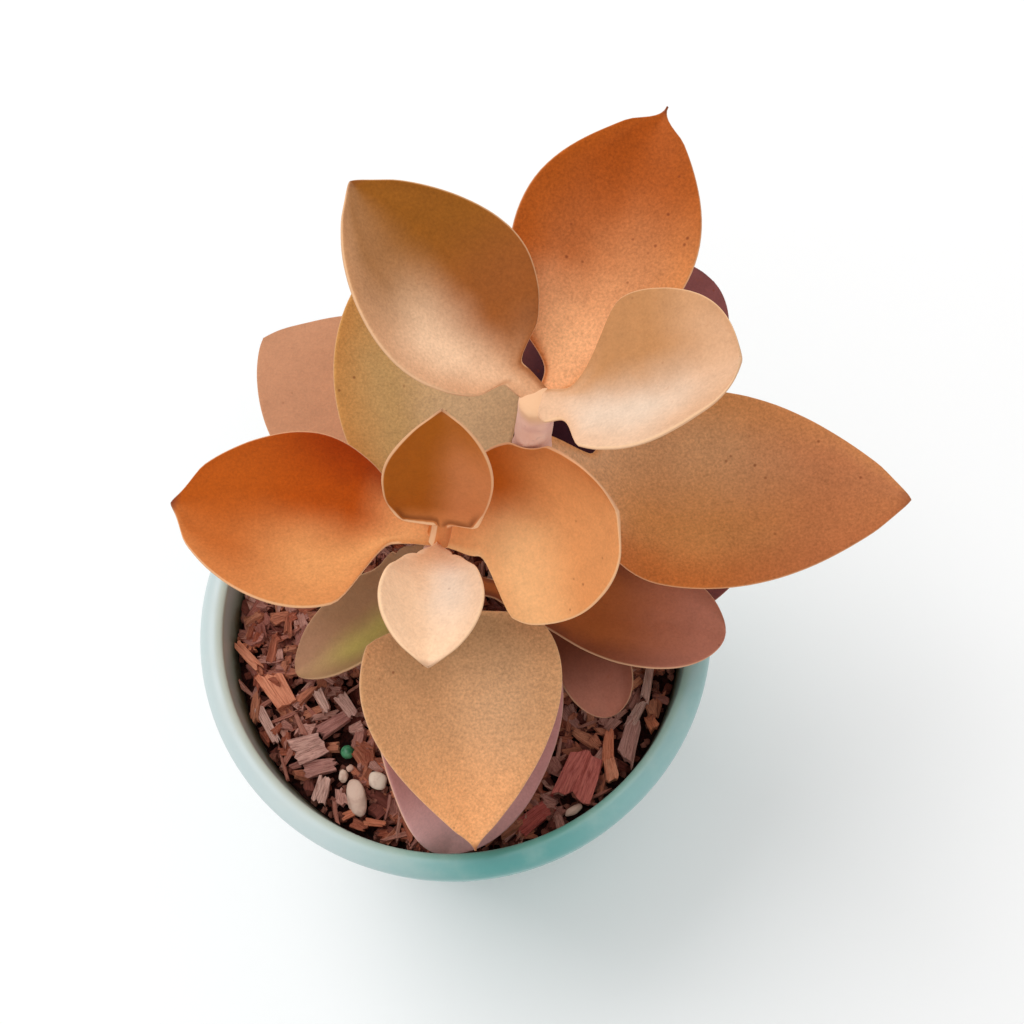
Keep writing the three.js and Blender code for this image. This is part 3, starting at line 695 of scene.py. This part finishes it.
def finished(name, bm, material, slot, nodes=(), flat=False):
    """A piece of a finished mesh, in place, on the root body."""
    for face in bm.faces:
        face.smooth = not flat
    piece = mesh_object(name, bm)
    piece.data.materials.append(material)
    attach(piece, "root")
    if nodes:
        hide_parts(*nodes)
    return piece


def face_out(bm):
    """Turns the faces of a closed shape outwards, also where it curls past its own middle."""
    bmesh.ops.recalc_face_normals(bm, faces=bm.faces[:])
    if bm.calc_volume(signed=True) < 0:
        bmesh.ops.reverse_faces(bm, faces=bm.faces[:])


def spun(section, steps):
    """A closed shape from its half section, spun round the pot's axis."""
    bm = bmesh.new()
    verts = [bm.verts.new(Vector((radius, 0, height)) * MM) for radius, height in section]
    edges = [bm.edges.new(pair) for pair in zip(verts, verts[1:])]
    bmesh.ops.spin(
        bm, geom=verts + edges, cent=(0, 0, 0), axis=(0, 0, 1), angle=2 * math.pi,
        steps=steps, use_merge=True)
    bmesh.ops.remove_doubles(bm, verts=bm.verts[:], dist=0.01 * MM)
    face_out(bm)
    return bm


# Stems.

def stem_place(stem, share):
    """The place on a stem's axis at a share of its curve, and the direction there."""
    foot, bend, top = (Vector((x, y, POT_HEIGHT + z)) for x, y, z in (stem.foot, stem.bend, stem.top))
    place = foot.lerp(bend, share).lerp(bend.lerp(top, share), share)
    direction = (bend.lerp(top, share) - foot.lerp(bend, share)).normalized()
    return place, direction


def stem_share(stem, height):
    """The share of a stem's curve at a height above the rim."""
    low, high = 0, 1
    for _ in range(30):
        middle = (low + high) / 2
        if stem_place(stem, middle)[0].z < POT_HEIGHT + height:
            low = middle
        else:
            high = middle
    return low


def stem_piece(key, stem):
    """A felted stem: a ring carried up the curve, swollen at its joints, with a domed top."""
    bm = bmesh.new()
    along = bm.verts.layers.float.new("along")
    scar = bm.verts.layers.float.new("scar")
    joints = [stem_share(stem, height) for height in stem.joints]
    length = Vector(stem.top).length + Vector(stem.foot).length
    ring = bmesh.ops.create_circle(bm, cap_ends=True, segments=STEM_SIDES, radius=1)["verts"]
    edges = list({edge for vert in ring for edge in vert.link_edges})
    crown = stem_share(stem, stem.crown)
    for step in range(STEM_STEPS + DOME_STEPS + 1):
        share = min(step / STEM_STEPS, 1) * crown
        dome = max(step - STEM_STEPS, 0) / DOME_STEPS
        centre, direction = stem_place(stem, share)
        above = [(share - joint) * length for joint in joints]
        swell = sum(math.exp(-(rise / JOINT_SPREAD) ** 2) for rise in above)
        mark = max(math.exp(-((rise + SCAR_DROP) / SCAR_SPREAD) ** 2) for rise in above)
        radius = lerp(stem.foot_radius, stem.top_radius, share)
        radius += JOINT_SWELL * swell - SCAR_DEPTH * mark
        radius *= math.sqrt(max(1 - dome * dome, 0.01))
        centre = centre + direction * dome * DOME_HEIGHT
        turn = Vector((0, 0, 1)).rotation_difference(direction)
        for number, vert in enumerate(ring):
            angle = 2 * math.pi * number / STEM_SIDES
            out = Vector((math.cos(angle), math.sin(angle), 0))
            rough = noise.noise(Vector((3 * out.x, 3 * out.y, step / 6)))
            reach = radius * (1 + STEM_ROUGHNESS * rough * (1 - dome))
            vert.co = (centre + turn @ out * reach) * MM
            vert[along] = share
            vert[scar] = mark * (1 - dome)
        if dome < 1:
            grown = bmesh.ops.extrude_edge_only(bm, edges=edges)["geom"]
            edges = [item for item in grown if isinstance(item, bmesh.types.BMEdge)]
            fresh = [item for item in grown if isinstance(item, bmesh.types.BMVert)]
            ring = match_ring(ring, fresh)
            edges = [edge for edge in edges if all(vert in ring for vert in edge.verts)]
    bmesh.ops.holes_fill(bm, edges=edges, sides=STEM_SIDES)
    face_out(bm)
    node = "stem_" + key
    finished(node + "_felt", bm, stem_felt(node), "stem", [node])


def match_ring(ring, fresh):
    """The new ring's vertices, in the old ring's order."""
    fresh = set(fresh)
    return [next(edge.other_vert(vert) for edge in vert.link_edges if edge.other_vert(vert) in fresh)
            for vert in ring]


# Leaves.

def leaf_axes(leaf):
    """The directions of a leaf: along it, to its left and out of its upper face."""
    azimuth = math.radians(leaf.azimuth)
    rise = math.radians(leaf.rise)
    flat = Vector((math.cos(azimuth), math.sin(azimuth), 0))
    along = flat * math.cos(rise) + Vector((0, 0, math.sin(rise)))
    left = Vector((-math.sin(azimuth), math.cos(azimuth), 0))
    left.rotate(Quaternion(along, math.radians(leaf.roll)))
    return along, left, along.cross(left)


def half_width(leaf, s, side):
    """The width of the right half, side 0, or the left one, side 1, measured over its curve."""
    neck = leaf.neck[side]
    throat = leaf.throat[side]
    petiole = leaf.petiole / leaf.length
    u = (s - petiole) / (1 - petiole)
    if s < 0:
        return neck * math.sqrt(max(1 - (s * leaf.length / PETIOLE_END) ** 2, 0))
    if u <= 0:
        return lerp(neck, throat, smooth(s, 0, petiole))
    slender = PETIOLE_HALF_WIDTH * math.sqrt(max(1 - s, 0))
    stalk = lerp(throat, slender, smooth(u, 0, THROAT_FADE))
    skew = math.log(0.5) / math.log(leaf.widest)
    roundness = lerp(leaf.shoulder, leaf.point, u)
    blade = leaf.width / 2 * max(math.sin(math.pi * min(u, 1) ** skew), 0) ** roundness
    blade *= smooth(u, 0, leaf.flare[side]) * (1 - leaf.beak * smooth(u, BEAK_START, 1))
    return math.hypot(blade * (1 + leaf.lean * (2 * side - 1)), stalk)


def margin_inset(leaf, s, t, reach):
    """How far a place lies inside the margin, which also runs along the blade's base."""
    aside = (1 - abs(t)) * reach
    ahead = s * leaf.length - leaf.petiole
    if ahead > 0:
        return min(aside, math.hypot(ahead, max(leaf.throat[int(t > 0)] - abs(t) * reach, 0)))
    return aside


def leaf_thickness(leaf, s, t, reach):
    """Thickness at a place of the leaf, round at the margin and like a stalk near the stem."""
    petiole = leaf.petiole / leaf.length
    stalk = 1 - smooth(s, *(petiole * share for share in PETIOLE_FADE))
    rib = lerp(leaf.thickness, PETIOLE_THICKNESS, stalk)
    cord = leaf.cord * (1 - smooth(s, *CORD_END))
    cord *= 1 - smooth(margin_inset(leaf, s, t, reach), *CORD_WIDTH)
    margin = lerp(MARGIN_THICKNESS, PETIOLE_THICKNESS * PETIOLE_SIDE, stalk)
    tip = 1 - TIP_THINNING * smooth(s, TIP_START, 1)
    inset = min((1 - abs(t)) * reach / lerp(MARGIN_ROUND, PETIOLE_HALF_WIDTH, stalk), 1)
    return (lerp(rib, margin, t * t) * tip + cord) * max(math.sqrt(1 - (1 - inset) ** 2), LEAST_THICKNESS)


def leaf_place(leaf, root, axes, s, t, face):
    """A place on the upper face, where face is 1, or on the lower one, where it is -1."""
    along, left, out = axes
    reach = max(half_width(leaf, s, int(t > 0)), LEAST_HALF_WIDTH)
    bend = left * leaf.sway - out * leaf.sag
    place = root + along * leaf.length * s + bend * leaf.length * 4 * s * (1 - s)
    place += Vector(leaf.foot) * (1 - smooth(s, 0, FOOT_FADE))
    forward = (along + bend * 4 * (1 - 2 * s)).normalized()
    left = (left - forward * left.dot(forward)).normalized()
    out = forward.cross(left)
    fold = math.radians(leaf.fold)
    cup = math.radians(leaf.cup)
    opened = smooth(s * leaf.length, leaf.petiole, leaf.petiole + CREASE_FADE)
    crease = lerp(PETIOLE_CREASE, CREASE, opened)
    soft = math.sqrt(t * t + crease * crease)
    slope = fold + cup * abs(t)
    side = reach * (math.sin(slope) - math.sin(fold)) / cup
    raised = fold + cup * max(soft - crease, 0)
    lift = reach * (math.cos(fold) - math.cos(raised)) / cup
    lean = slope * t / soft
    normal = out * math.cos(lean) - left * math.sin(lean)
    broad = smooth(reach, *BROAD_HALF_WIDTH)
    ripple = leaf.wave * broad * t ** 4 * math.sin(s * WAVE_TURN + WAVE_SLANT * t + leaf.azimuth)
    swell = noise.noise(Vector((s * 3.4, t * 1.7, leaf.azimuth))) * LEAF_SWELL * broad
    dimple = noise.noise(Vector((s * 15, t * 8, leaf.azimuth + 9))) * LEAF_DIMPLE * broad
    place += left * math.copysign(side, t) + out * (lift + ripple + swell + dimple)
    return place + normal * face * leaf_thickness(leaf, s, t, reach) / 2


def bend_clear(bm, stem):
    """Eases a leaf's margin round a stem that it would touch."""
    for vert in bm.verts:
        height = vert.co.z / MM - POT_HEIGHT
        if not 0 < height < stem.crown:
            continue
        share = stem_share(stem, height)
        axis = stem_place(stem, share)[0].xy * MM
        away = vert.co.xy - axis
        near = (lerp(stem.foot_radius, stem.top_radius, share) + STEM_CLEARANCE) * MM
        deep = near - EASED_INSIDE * MM
        wide = near + EASED_OUTSIDE * MM
        if away.length < wide:
            eased = near + (wide - near) * max(away.length - deep, 0) / (wide - deep)
            vert.co.xy = axis + away.normalized() * eased


def leaf_piece(name, leaf):
    """A grid drawn out into a slab, whose two faces then take the leaf's curves."""
    root = stem_place(STEMS[leaf.stem], stem_share(STEMS[leaf.stem], leaf.height))[0]
    axes = leaf_axes(leaf)
    petiole = leaf.petiole / leaf.length
    start = -PETIOLE_END / leaf.length
    bm = bmesh.new()
    along = bm.verts.layers.float.new("along")
    across = bm.verts.layers.float.new("across")
    inset = bm.verts.layers.float.new("inset")
    upper = bm.verts.layers.float.new("upper")
    bmesh.ops.create_grid(bm, x_segments=LEAF_STEPS, y_segments=LEAF_COLUMNS, size=1)
    grown = bmesh.ops.extrude_face_region(bm, geom=bm.faces[:])["geom"]
    lifted = [item for item in grown if isinstance(item, bmesh.types.BMVert)]
    bmesh.ops.translate(bm, verts=lifted, vec=(0, 0, 1))
    for vert in bm.verts:
        step = (vert.co.x + 1) / 2
        t = math.sin(vert.co.y * math.pi / 2)
        face = 1 if vert.co.z > 0.5 else -1
        if step < PETIOLE_SHARE:
            s = lerp(start, petiole, math.sin(step / PETIOLE_SHARE * math.pi / 2))
        else:
            turn = math.pi * (step - PETIOLE_SHARE) / (1 - PETIOLE_SHARE)
            s = petiole + (1 - petiole) * (1 - math.cos(turn)) / 2
        vert[along] = s
        vert[across] = t
        vert[inset] = margin_inset(leaf, s, t, half_width(leaf, s, int(t > 0)))
        vert[upper] = (face + 1) / 2
        vert.co = leaf_place(leaf, root, axes, s, t, face) * MM
    if leaf.stem == "front":
        bend_clear(bm, STEMS["back"])
    face_out(bm)
    look = FELTS[name]
    return finished(name + "_felt", bm, leaf_felt(name, look, leaf), look.slot, [name])


# Pot.

def wall_radius(height):
    share = height / (POT_HEIGHT - COLLAR_HEIGHT)
    return lerp(BASE_RADIUS, LIP_INNER_RADIUS + WALL - SKIRT_INSET, share)


def arc(centre, radii, start, end, steps):
    """Points on a quarter or less of an ellipse, from one angle to another, in degrees."""
    points = []
    for step in range(steps + 1):
        angle = math.radians(lerp(start, end, step / steps))
        points.append((centre[0] + radii[0] * math.cos(angle), centre[1] + radii[1] * math.sin(angle)))
    return points


def pot_piece():
    """The pot's section spun round its axis, with its drains cut through the floor."""
    collar = POT_HEIGHT - COLLAR_HEIGHT
    foot_inner = BASE_RADIUS - FOOT_WIDTH
    widest = POT_HEIGHT - RIM_DROP
    section = [
        (0, 0),
        (HUB_RADIUS, 0),
        (HUB_RADIUS + FOOT_SLOPE, FOOT_HEIGHT),
        (foot_inner - FOOT_SLOPE, FOOT_HEIGHT),
        (foot_inner, 0),
        (BASE_RADIUS - BASE_ROUND, 0),
        (wall_radius(FOOT_HEIGHT), FOOT_HEIGHT),
        *[(wall_radius(height), height) for height in range(RING_SPACING // 2, collar - 1, RING_SPACING)],
        (wall_radius(collar - COLLAR_FILLET), collar - COLLAR_FILLET),
        (wall_radius(collar) + COLLAR_ROUND, collar - DRAFT),
        (RIM_RADIUS - SKIRT_INSET - COLLAR_ROUND, collar),
        (RIM_RADIUS - SKIRT_INSET, collar + COLLAR_ROUND),
        (RIM_RADIUS - SKIRT_INSET / 2, (collar + widest) / 2),
        *arc((LIP_CROWN_RADIUS, widest), (RIM_RADIUS - LIP_CROWN_RADIUS, RIM_DROP), 0, 90, 12),
        *arc((LIP_CROWN_RADIUS, POT_HEIGHT - LIP_ROUND),
             (LIP_CROWN_RADIUS - LIP_INNER_RADIUS, LIP_ROUND), 100, 180, 8),
        (LIP_INNER_RADIUS - DRAFT, POT_HEIGHT - LIP_DEPTH),
        *[(wall_radius(height) - WALL, height) for height in range(collar, 5, -RING_SPACING)],
        (wall_radius(FLOOR) - WALL, FLOOR + FLOOR_CORNER),
        (wall_radius(FLOOR) - WALL - FLOOR_CORNER, FLOOR),
        (0, FLOOR),
    ]
    pot = finished("pot_shell", spun(section, POT_STEPS), pot_plastic(), "pot", ["pot"])
    drains = bmesh.new()
    for number in range(DRAIN_COUNT):
        angle = (number + 0.5) / DRAIN_COUNT * 2 * math.pi
        at = Vector((math.cos(angle), math.sin(angle), 0)) * DRAIN_CIRCLE * MM
        bmesh.ops.create_cone(
            drains, cap_ends=True, segments=32, radius1=DRAIN_RADIUS * MM, radius2=DRAIN_RADIUS * MM,
            depth=4 * FLOOR * MM, matrix=Matrix.Translation(at))
    cut_through(pot, drains)


def cut_through(piece, tool):
    """Takes the tool's solids out of a piece, for good."""
    cutter = mesh_object("tool", tool)
    cut = piece.modifiers.new("drains", "BOOLEAN")
    cut.operation = "DIFFERENCE"
    cut.solver = "EXACT"
    cut.object = cutter
    bpy.context.view_layer.update()
    shaped = bpy.data.meshes.new_from_object(piece.evaluated_get(bpy.context.evaluated_depsgraph_get()))
    piece.modifiers.remove(cut)
    piece.data = shaped
    bpy.data.objects.remove(cutter)


# Potting mix.

def mix_height(x, y):
    """The height of the mix above the pot's base, in millimetres, with its low swells."""
    swell = MIX_SWELL * math.sin(x / 9 + 1) * math.cos(y / 11)
    ripple = MIX_RIPPLE * math.sin(x / 5 - y / 6)
    return POT_HEIGHT - MIX_DEPTH + swell + ripple


def bed_piece():
    """The fine part of the mix, which fills the pot: a section spun round and roughened on top."""
    level = POT_HEIGHT - MIX_DEPTH
    top = wall_radius(level) - WALL - MIX_CLEARANCE
    bottom = wall_radius(FLOOR) - WALL - FLOOR_CORNER - MIX_CLEARANCE
    section = [(top * step / BED_RINGS, level) for step in range(BED_RINGS + 1)]
    section += [(bottom, FLOOR + MIX_GAP), (0, FLOOR + MIX_GAP)]
    bm = spun(section, BED_STEPS)
    for vert in bm.verts:
        if vert.co.z > level * MM / 2:
            x, y = vert.co.x / MM, vert.co.y / MM
            rough = noise.fractal(Vector((x / BED_LUMP, y / BED_LUMP, 4)), 0.7, 2.1, 4)
            vert.co.z = (mix_height(x, y) - BED_DROP + BED_ROUGHNESS * rough) * MM
    finished("mix_bed", bm, bed_crumb(), "potting_mix", ["potting_mix"])


def chip_mesh(draw, size, cuts, ragged=0.1, taper=0.35):
    """A broken chip of a size in millimetres: a block split along its length, with torn ends."""
    bm = bmesh.new()
    bmesh.ops.create_cube(bm, size=1)
    long_edges = [edge for edge in bm.edges if abs(edge.verts[0].co.x - edge.verts[1].co.x) > 0.5]
    bmesh.ops.subdivide_edges(bm, edges=long_edges, cuts=1)
    wide_edges = [edge for edge in bm.edges if abs(edge.verts[0].co.y - edge.verts[1].co.y) > 0.5]
    bmesh.ops.subdivide_edges(bm, edges=wide_edges, cuts=cuts)
    chart = bm.loops.layers.uv.new("UVMap")
    offset = Vector((draw.random() * 40, draw.random() * 40))
    for face in bm.faces:
        for loop in face.loops:
            loop[chart].uv = offset + Vector((loop.vert.co.x, loop.vert.co.y + loop.vert.co.z * 0.4))
    bow = draw.uniform(-CHIP_BEND, CHIP_BEND)
    skew = draw.uniform(-CHIP_BEND, CHIP_BEND)
    strands = {}
    for vert in bm.verts:
        x, y = vert.co.x, vert.co.y
        strand = strands.setdefault(round(y, 3), [draw.uniform(-1, 1) for _ in range(3)])
        torn = strand[0] if x > 0 else strand[1]
        vert.co.x += ragged * TORN_ENDS * torn * abs(x) * 2 + skew * y
        vert.co.y *= 1 - taper * (x + 0.5)
        vert.co.z += bow * (0.25 - x * x) * 2 + strand[2] * ragged * SPLIT_STRANDS
        vert.co += Vector([draw.uniform(-ragged, ragged) * WORN_CORNERS for _ in range(3)])
    bmesh.ops.scale(bm, vec=Vector(size) * MM, verts=bm.verts[:])
    return bm


def grit_mesh(draw, size):
    """A rounded stone: a ball pushed in and out, and stretched."""
    bm = bmesh.new()
    bmesh.ops.create_icosphere(bm, subdivisions=3, radius=0.5)
    bm.loops.layers.uv.new("UVMap")
    shift = Vector([draw.uniform(0, 50) for _ in range(3)])
    for vert in bm.verts:
        vert.co *= 1 + STONE_LUMPS * noise.noise(vert.co * 2.4 + shift)
    bmesh.ops.scale(bm, vec=Vector(size) * MM, verts=bm.verts[:])
    return bm


def drop_in(heap, shape, draw, x, y, lift, turn, tilt, shade=None):
    """Sets one shape down on the mix, in a heap of its kind."""
    shades = shape.verts.layers.float.new("shade")
    value = draw.random() if shade is None else shade
    for vert in shape.verts:
        vert[shades] = value
    lean = Matrix.Rotation(tilt[0], 4, "X") @ Matrix.Rotation(tilt[1], 4, "Y")
    at = Matrix.Translation(Vector((x, y, mix_height(x, y) + lift)) * MM)
    bmesh.ops.transform(shape, matrix=at @ Matrix.Rotation(turn, 4, "Z") @ lean, verts=shape.verts[:])
    for vert in shape.verts:
        room = (wall_radius(vert.co.z / MM) - WALL - ROOM_AT_WALL) * MM
        if vert.co.xy.length > room:
            vert.co.xy *= room / vert.co.xy.length
    mesh = bpy.data.meshes.new("chip")
    shape.to_mesh(mesh)
    shape.free()
    heap.from_mesh(mesh)
    bpy.data.meshes.remove(mesh)


def new_heap():
    heap = bmesh.new()
    heap.verts.layers.float.new("shade")
    heap.loops.layers.uv.new("UVMap")
    return heap


def free_places(draw, count, half, leaves):
    """Places on the mix clear of the wall, stems, bead, low leaves and the chips shown."""
    reach = wall_radius(POT_HEIGHT - MIX_DEPTH) - WALL - CHIP_MARGIN
    stands = [stem_place(stem, stem_share(stem, CHIP_RISE - MIX_DEPTH))[0] for stem in STEMS.values()]
    low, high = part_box("fertiliser_bead")
    bead = (low + high) / 2 / MM
    found = 0
    while found < count:
        x = draw.uniform(-reach, reach)
        y = draw.uniform(-reach, reach)
        at = Vector((x, y))
        if math.hypot(x, y) + half * SHARE_AT_WALL > reach:
            continue
        if any((at - stand.xy).length < ROOM_AT_STEM + half * SHARE_AT_STEM for stand in stands):
            continue
        if any(math.hypot(x - chip.x, y - chip.y) < chip.size[1] * SHARE_OF_SHOWN + half
               for chip in SHOWN_CHIPS):
            continue
        if (at - bead.xy).length < half + ROOM_AT_BEAD:
            continue
        over = Vector((x, y, mix_height(x, y) + CHIP_RISE)) * MM
        near = (half * SHARE_AT_LEAF + ROOM_AT_LEAF) * MM
        if any(leaf.find_nearest(over, near)[0] for leaf in leaves):
            continue
        found += 1
        yield x, y


# Chips of one kind: how many, their least and largest sizes, how high they lie, how far they lean,
# how many times they are split along, and their tones.

Kind = namedtuple("Kind", "name count small large lift lean cuts dark middle light")
BARK_KINDS = (
    Kind("bark_under", 460, (4, 2.6, 1.8), (8.5, 5, 3), (-2, 0.1), 0.5, 3,
         tone(56, 17, 11), tone(112, 54, 44), tone(142, 84, 72)),
    Kind("bark_rose", 480, (3, 2, 1.2), (7.5, 4.4, 2.4), (0, 1.5), 0.45, 3,
         tone(92, 34, 26), tone(176, 110, 96), tone(224, 172, 156)),
    Kind("bark_brown", 560, (3, 1.8, 1), (7.5, 3.6, 2), (0.2, 1.7), 0.5, 3,
         tone(92, 32, 20), tone(178, 98, 74), tone(214, 142, 110)),
    Kind("bark_orange", 60, (3, 1.6, 1), (6.5, 3.6, 2), (0.6, 1.6), 0.45, 3,
         tone(160, 66, 38), tone(228, 134, 96), tone(248, 178, 140)),
    Kind("splinters", 420, (4, 0.8, 0.6), (10, 1.6, 1.2), (0.4, 1.9), 0.3, 2,
         tone(100, 36, 26), tone(188, 110, 90), tone(232, 178, 158)),
)

# The chips and stones that catch the eye: where each lies, its size, how it is turned, its shade and
# how high it lies, in millimetres and degrees.

Chip = namedtuple("Chip", "finish x y size turn shade lift", defaults=(2,))
SHOWN_CHIPS = (
    Chip("orange_chips", -58.6, -2.6, (9.6, 3, 2), -48, 0.6),
    Chip("orange_chips", -50.6, -13, (10.5, 7, 2.4), -62, 0.5, 2.6),
    Chip("orange_chips", -31.6, -48.4, (5, 2, 1.6), 20, 0.2),
    Chip("orange_chips", -25.6, -51.4, (5.5, 2, 1.6), -12, 0.1),
    Chip("orange_chips", 38.6, -36.8, (8, 3.2, 2), 82, 0.1),
    Chip("orange_chips", 38.6, -43, (5.6, 3.6, 2.2), 96, 0.7, 2.4),
    Chip("pink_chips", -54, -21.8, (11, 2.8, 2), -64, 0.9),
    Chip("pink_chips", -42.4, -29.4, (8.6, 7.6, 2.4), 14, 0.6, 2.4),
    Chip("pink_chips", -39.8, -35, (8, 4.4, 2), 8, 0.2),
    Chip("pink_chips", -39.6, -41.2, (6.4, 4, 2), 72, 0.9),
    Chip("pink_chips", -38.4, -17, (6.4, 3, 2.4), -66, 0.95, 2.4),
    Chip("pink_chips", -31.8, -18.6, (7, 3.6, 2.4), -58, 0.7, 2.4),
    Chip("pink_chips", -35.6, -23.6, (9, 4, 2), 30, 0.1),
    Chip("pink_chips", 51.6, -18.6, (12, 2.6, 2.2), 74, 0.9, 2.6),
    Chip("pink_chips", 47, -28.4, (7, 3, 2.2), 56, 0.8, 2.4),
    Chip("pink_chips", 44.6, -35.4, (11, 5, 2.6), 70, 0.3),
    Chip("red_chips", 30.2, -43.6, (12.4, 10.6, 4), 62, 0.5, 2.4),
    Chip("red_chips", 18, -53, (12, 5, 2), 34, 0.1, 1),
    Chip("grit_stones", -33.6, -38, (3.6, 2.6, 2.4), 80, 0.5, 1.8),
    Chip("grit_stones", -30.2, -44.4, (10.4, 5.4, 3), -86, 0.4, 2.2),
    Chip("grit_stones", -24.2, -40.4, (5.6, 4.8, 3), -50, 1, 1.8),
    Chip("grit_stones", -31.6, -36.2, (2.2, 1.8, 1.6), 30, 0),
    Chip("grit_stones", 27.6, -52.6, (5, 2.4, 2), 28, 0.3, 1.4),
)


def mix_pieces(leaves):
    """Chips by kind, poured in layers, then crumbs, then the larger ones that catch the eye."""
    draw = Random(CHIP_SEED)
    low = []
    for leaf in leaves:
        corners = [vert.co for vert in leaf.data.vertices]
        low.append(BVHTree.FromPolygons(corners, [face.vertices for face in leaf.data.polygons]))
    for kind in BARK_KINDS:
        heap = new_heap()
        for x, y in free_places(draw, kind.count, kind.large[0] / 3, low):
            size = [draw.uniform(*pair) for pair in zip(kind.small, kind.large)]
            tilt = [draw.uniform(-kind.lean, kind.lean) for _ in range(2)]
            drop_in(heap, chip_mesh(draw, size, kind.cuts), draw, x, y, draw.uniform(*kind.lift),
                    draw.uniform(0, 2 * math.pi), tilt)
        material = bark(kind.name, kind.dark, kind.middle, kind.light)
        finished(kind.name, heap, material, "potting_mix", flat=True)

    crumbs = new_heap()
    for x, y in free_places(draw, CRUMB_COUNT, CRUMB_SIZES[0], low):
        size = [draw.uniform(*CRUMB_SIZES) for _ in range(3)]
        drop_in(crumbs, chip_mesh(draw, size, CRUMB_CUTS), draw, x, y, draw.uniform(*CRUMB_LIFTS),
                draw.uniform(0, 2 * math.pi), [draw.uniform(-CRUMB_TILT, CRUMB_TILT) for _ in range(2)])
    material = bark("crumbs", tone(52, 16, 11), tone(120, 60, 46), tone(176, 116, 98))
    finished("crumbs", crumbs, material, "potting_mix", flat=True)

    finishes = {
        "orange_chips": bark("orange_chips", tone(168, 78, 50), tone(222, 136, 102), tone(240, 172, 138)),
        "pink_chips": bark("pink_chips", tone(112, 54, 46), tone(182, 124, 114), tone(234, 192, 176)),
        "red_chips": bark("red_chips", tone(120, 36, 34), tone(190, 92, 82), tone(222, 136, 122)),
        "grit_stones": stone_grit(),
    }
    for name, material in finishes.items():
        heap = new_heap()
        for chip in [chip for chip in SHOWN_CHIPS if chip.finish == name]:
            if name == "grit_stones":
                shape = grit_mesh(draw, chip.size)
            else:
                shape = chip_mesh(draw, chip.size, SHOWN_CUTS, ragged=0.07, taper=0.2)
            tilt = [draw.uniform(-SHOWN_TILT, SHOWN_TILT) for _ in range(2)]
            drop_in(heap, shape, draw, chip.x, chip.y, chip.lift, math.radians(chip.turn), tilt, chip.shade)
        finished(name, heap, material, "potting_mix", flat=name != "grit_stones")


def lights():
    """A soft key from the far left, in a white surround."""
    view = bpy.context.scene
    view.view_settings.view_transform = "Standard"
    world = bpy.data.worlds.new("surround")
    view.world = world
    world.use_nodes = True
    world.node_tree.nodes["Background"].inputs["Color"].default_value = (1, 1, 1, 1)
    world.node_tree.nodes["Background"].inputs["Strength"].default_value = SURROUND
    light = bpy.data.lights.new("key", "AREA")
    light.size = KEY_SIZE
    reach = Vector(KEY_PLACE) - Vector(KEY_AIM)
    light.energy = KEY_SHARE * math.pi ** 2 * reach.length_squared * reach.length / reach.z
    lamp = bpy.data.objects.new("key", light)
    lamp.location = KEY_PLACE
    lamp.rotation_mode = "QUATERNION"
    lamp.rotation_quaternion = (-reach).to_track_quat("-Z", "Y")
    view.collection.objects.link(lamp)


def camera():
    """The photograph's camera: it looks down from the near side, turned a little."""
    rise = math.radians(CAMERA_RISE)
    roll = math.radians(CAMERA_ROLL)
    back = Vector((0, -math.cos(rise), math.sin(rise)))
    right = Vector((1, 0, 0))
    up = back.cross(right)
    turned = right * math.cos(roll) + up * math.sin(roll)
    upright = up * math.cos(roll) - right * math.sin(roll)
    lens = bpy.data.cameras.new("camera")
    lens.lens = CAMERA_LENS
    lens.sensor_width = CAMERA_SENSOR
    lens.clip_start = CAMERA_NEAR * MM
    eye = bpy.data.objects.new("camera", lens)
    eye.matrix_world = Matrix.Translation(Vector(CAMERA_PLACE) * MM) @ Matrix(
        (turned, upright, back)).transposed().to_4x4()
    bpy.context.scene.collection.objects.link(eye)
    bpy.context.scene.camera = eye


def floor():
    """A plain pale floor."""
    paper = Finish("paper", Specular_IOR_Level=0.1)
    cloud = paper.noise(3, 2)
    shade = paper.mix(cloud, (0.95, 0.95, 0.95, 1), (0.97, 0.97, 0.97, 1))
    bm = bmesh.new()
    bmesh.ops.create_grid(bm, x_segments=2, y_segments=2, size=PAPER_SIZE)
    ground = mesh_object("floor", bm)
    ground.data.materials.append(paper.set(Base_Color=shade, Roughness=0.9))


def bead_piece():
    """The fertiliser ball, where the frame has it."""
    low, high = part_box("fertiliser_bead")
    bm = bmesh.new()
    bmesh.ops.create_icosphere(bm, subdivisions=4, radius=(high.x - low.x) / 2)
    for vert in bm.verts:
        vert.co *= 1 + 0.03 * noise.noise(vert.co * 700)
    bmesh.ops.translate(bm, verts=bm.verts[:], vec=(low + high) / 2)
    finished("fertiliser_ball", bm, bead_coat(), "bead", ["fertiliser_bead"])


camera()
lights()
floor()
pot_piece()
bed_piece()
leaf_pieces = {name: leaf_piece(name, leaf) for name, leaf in LEAVES.items()}
for key, stem in STEMS.items():
    stem_piece(key, stem)
bead_piece()
mix_pieces([leaf_pieces[name] for name in LEAVES if "_base_" in name])
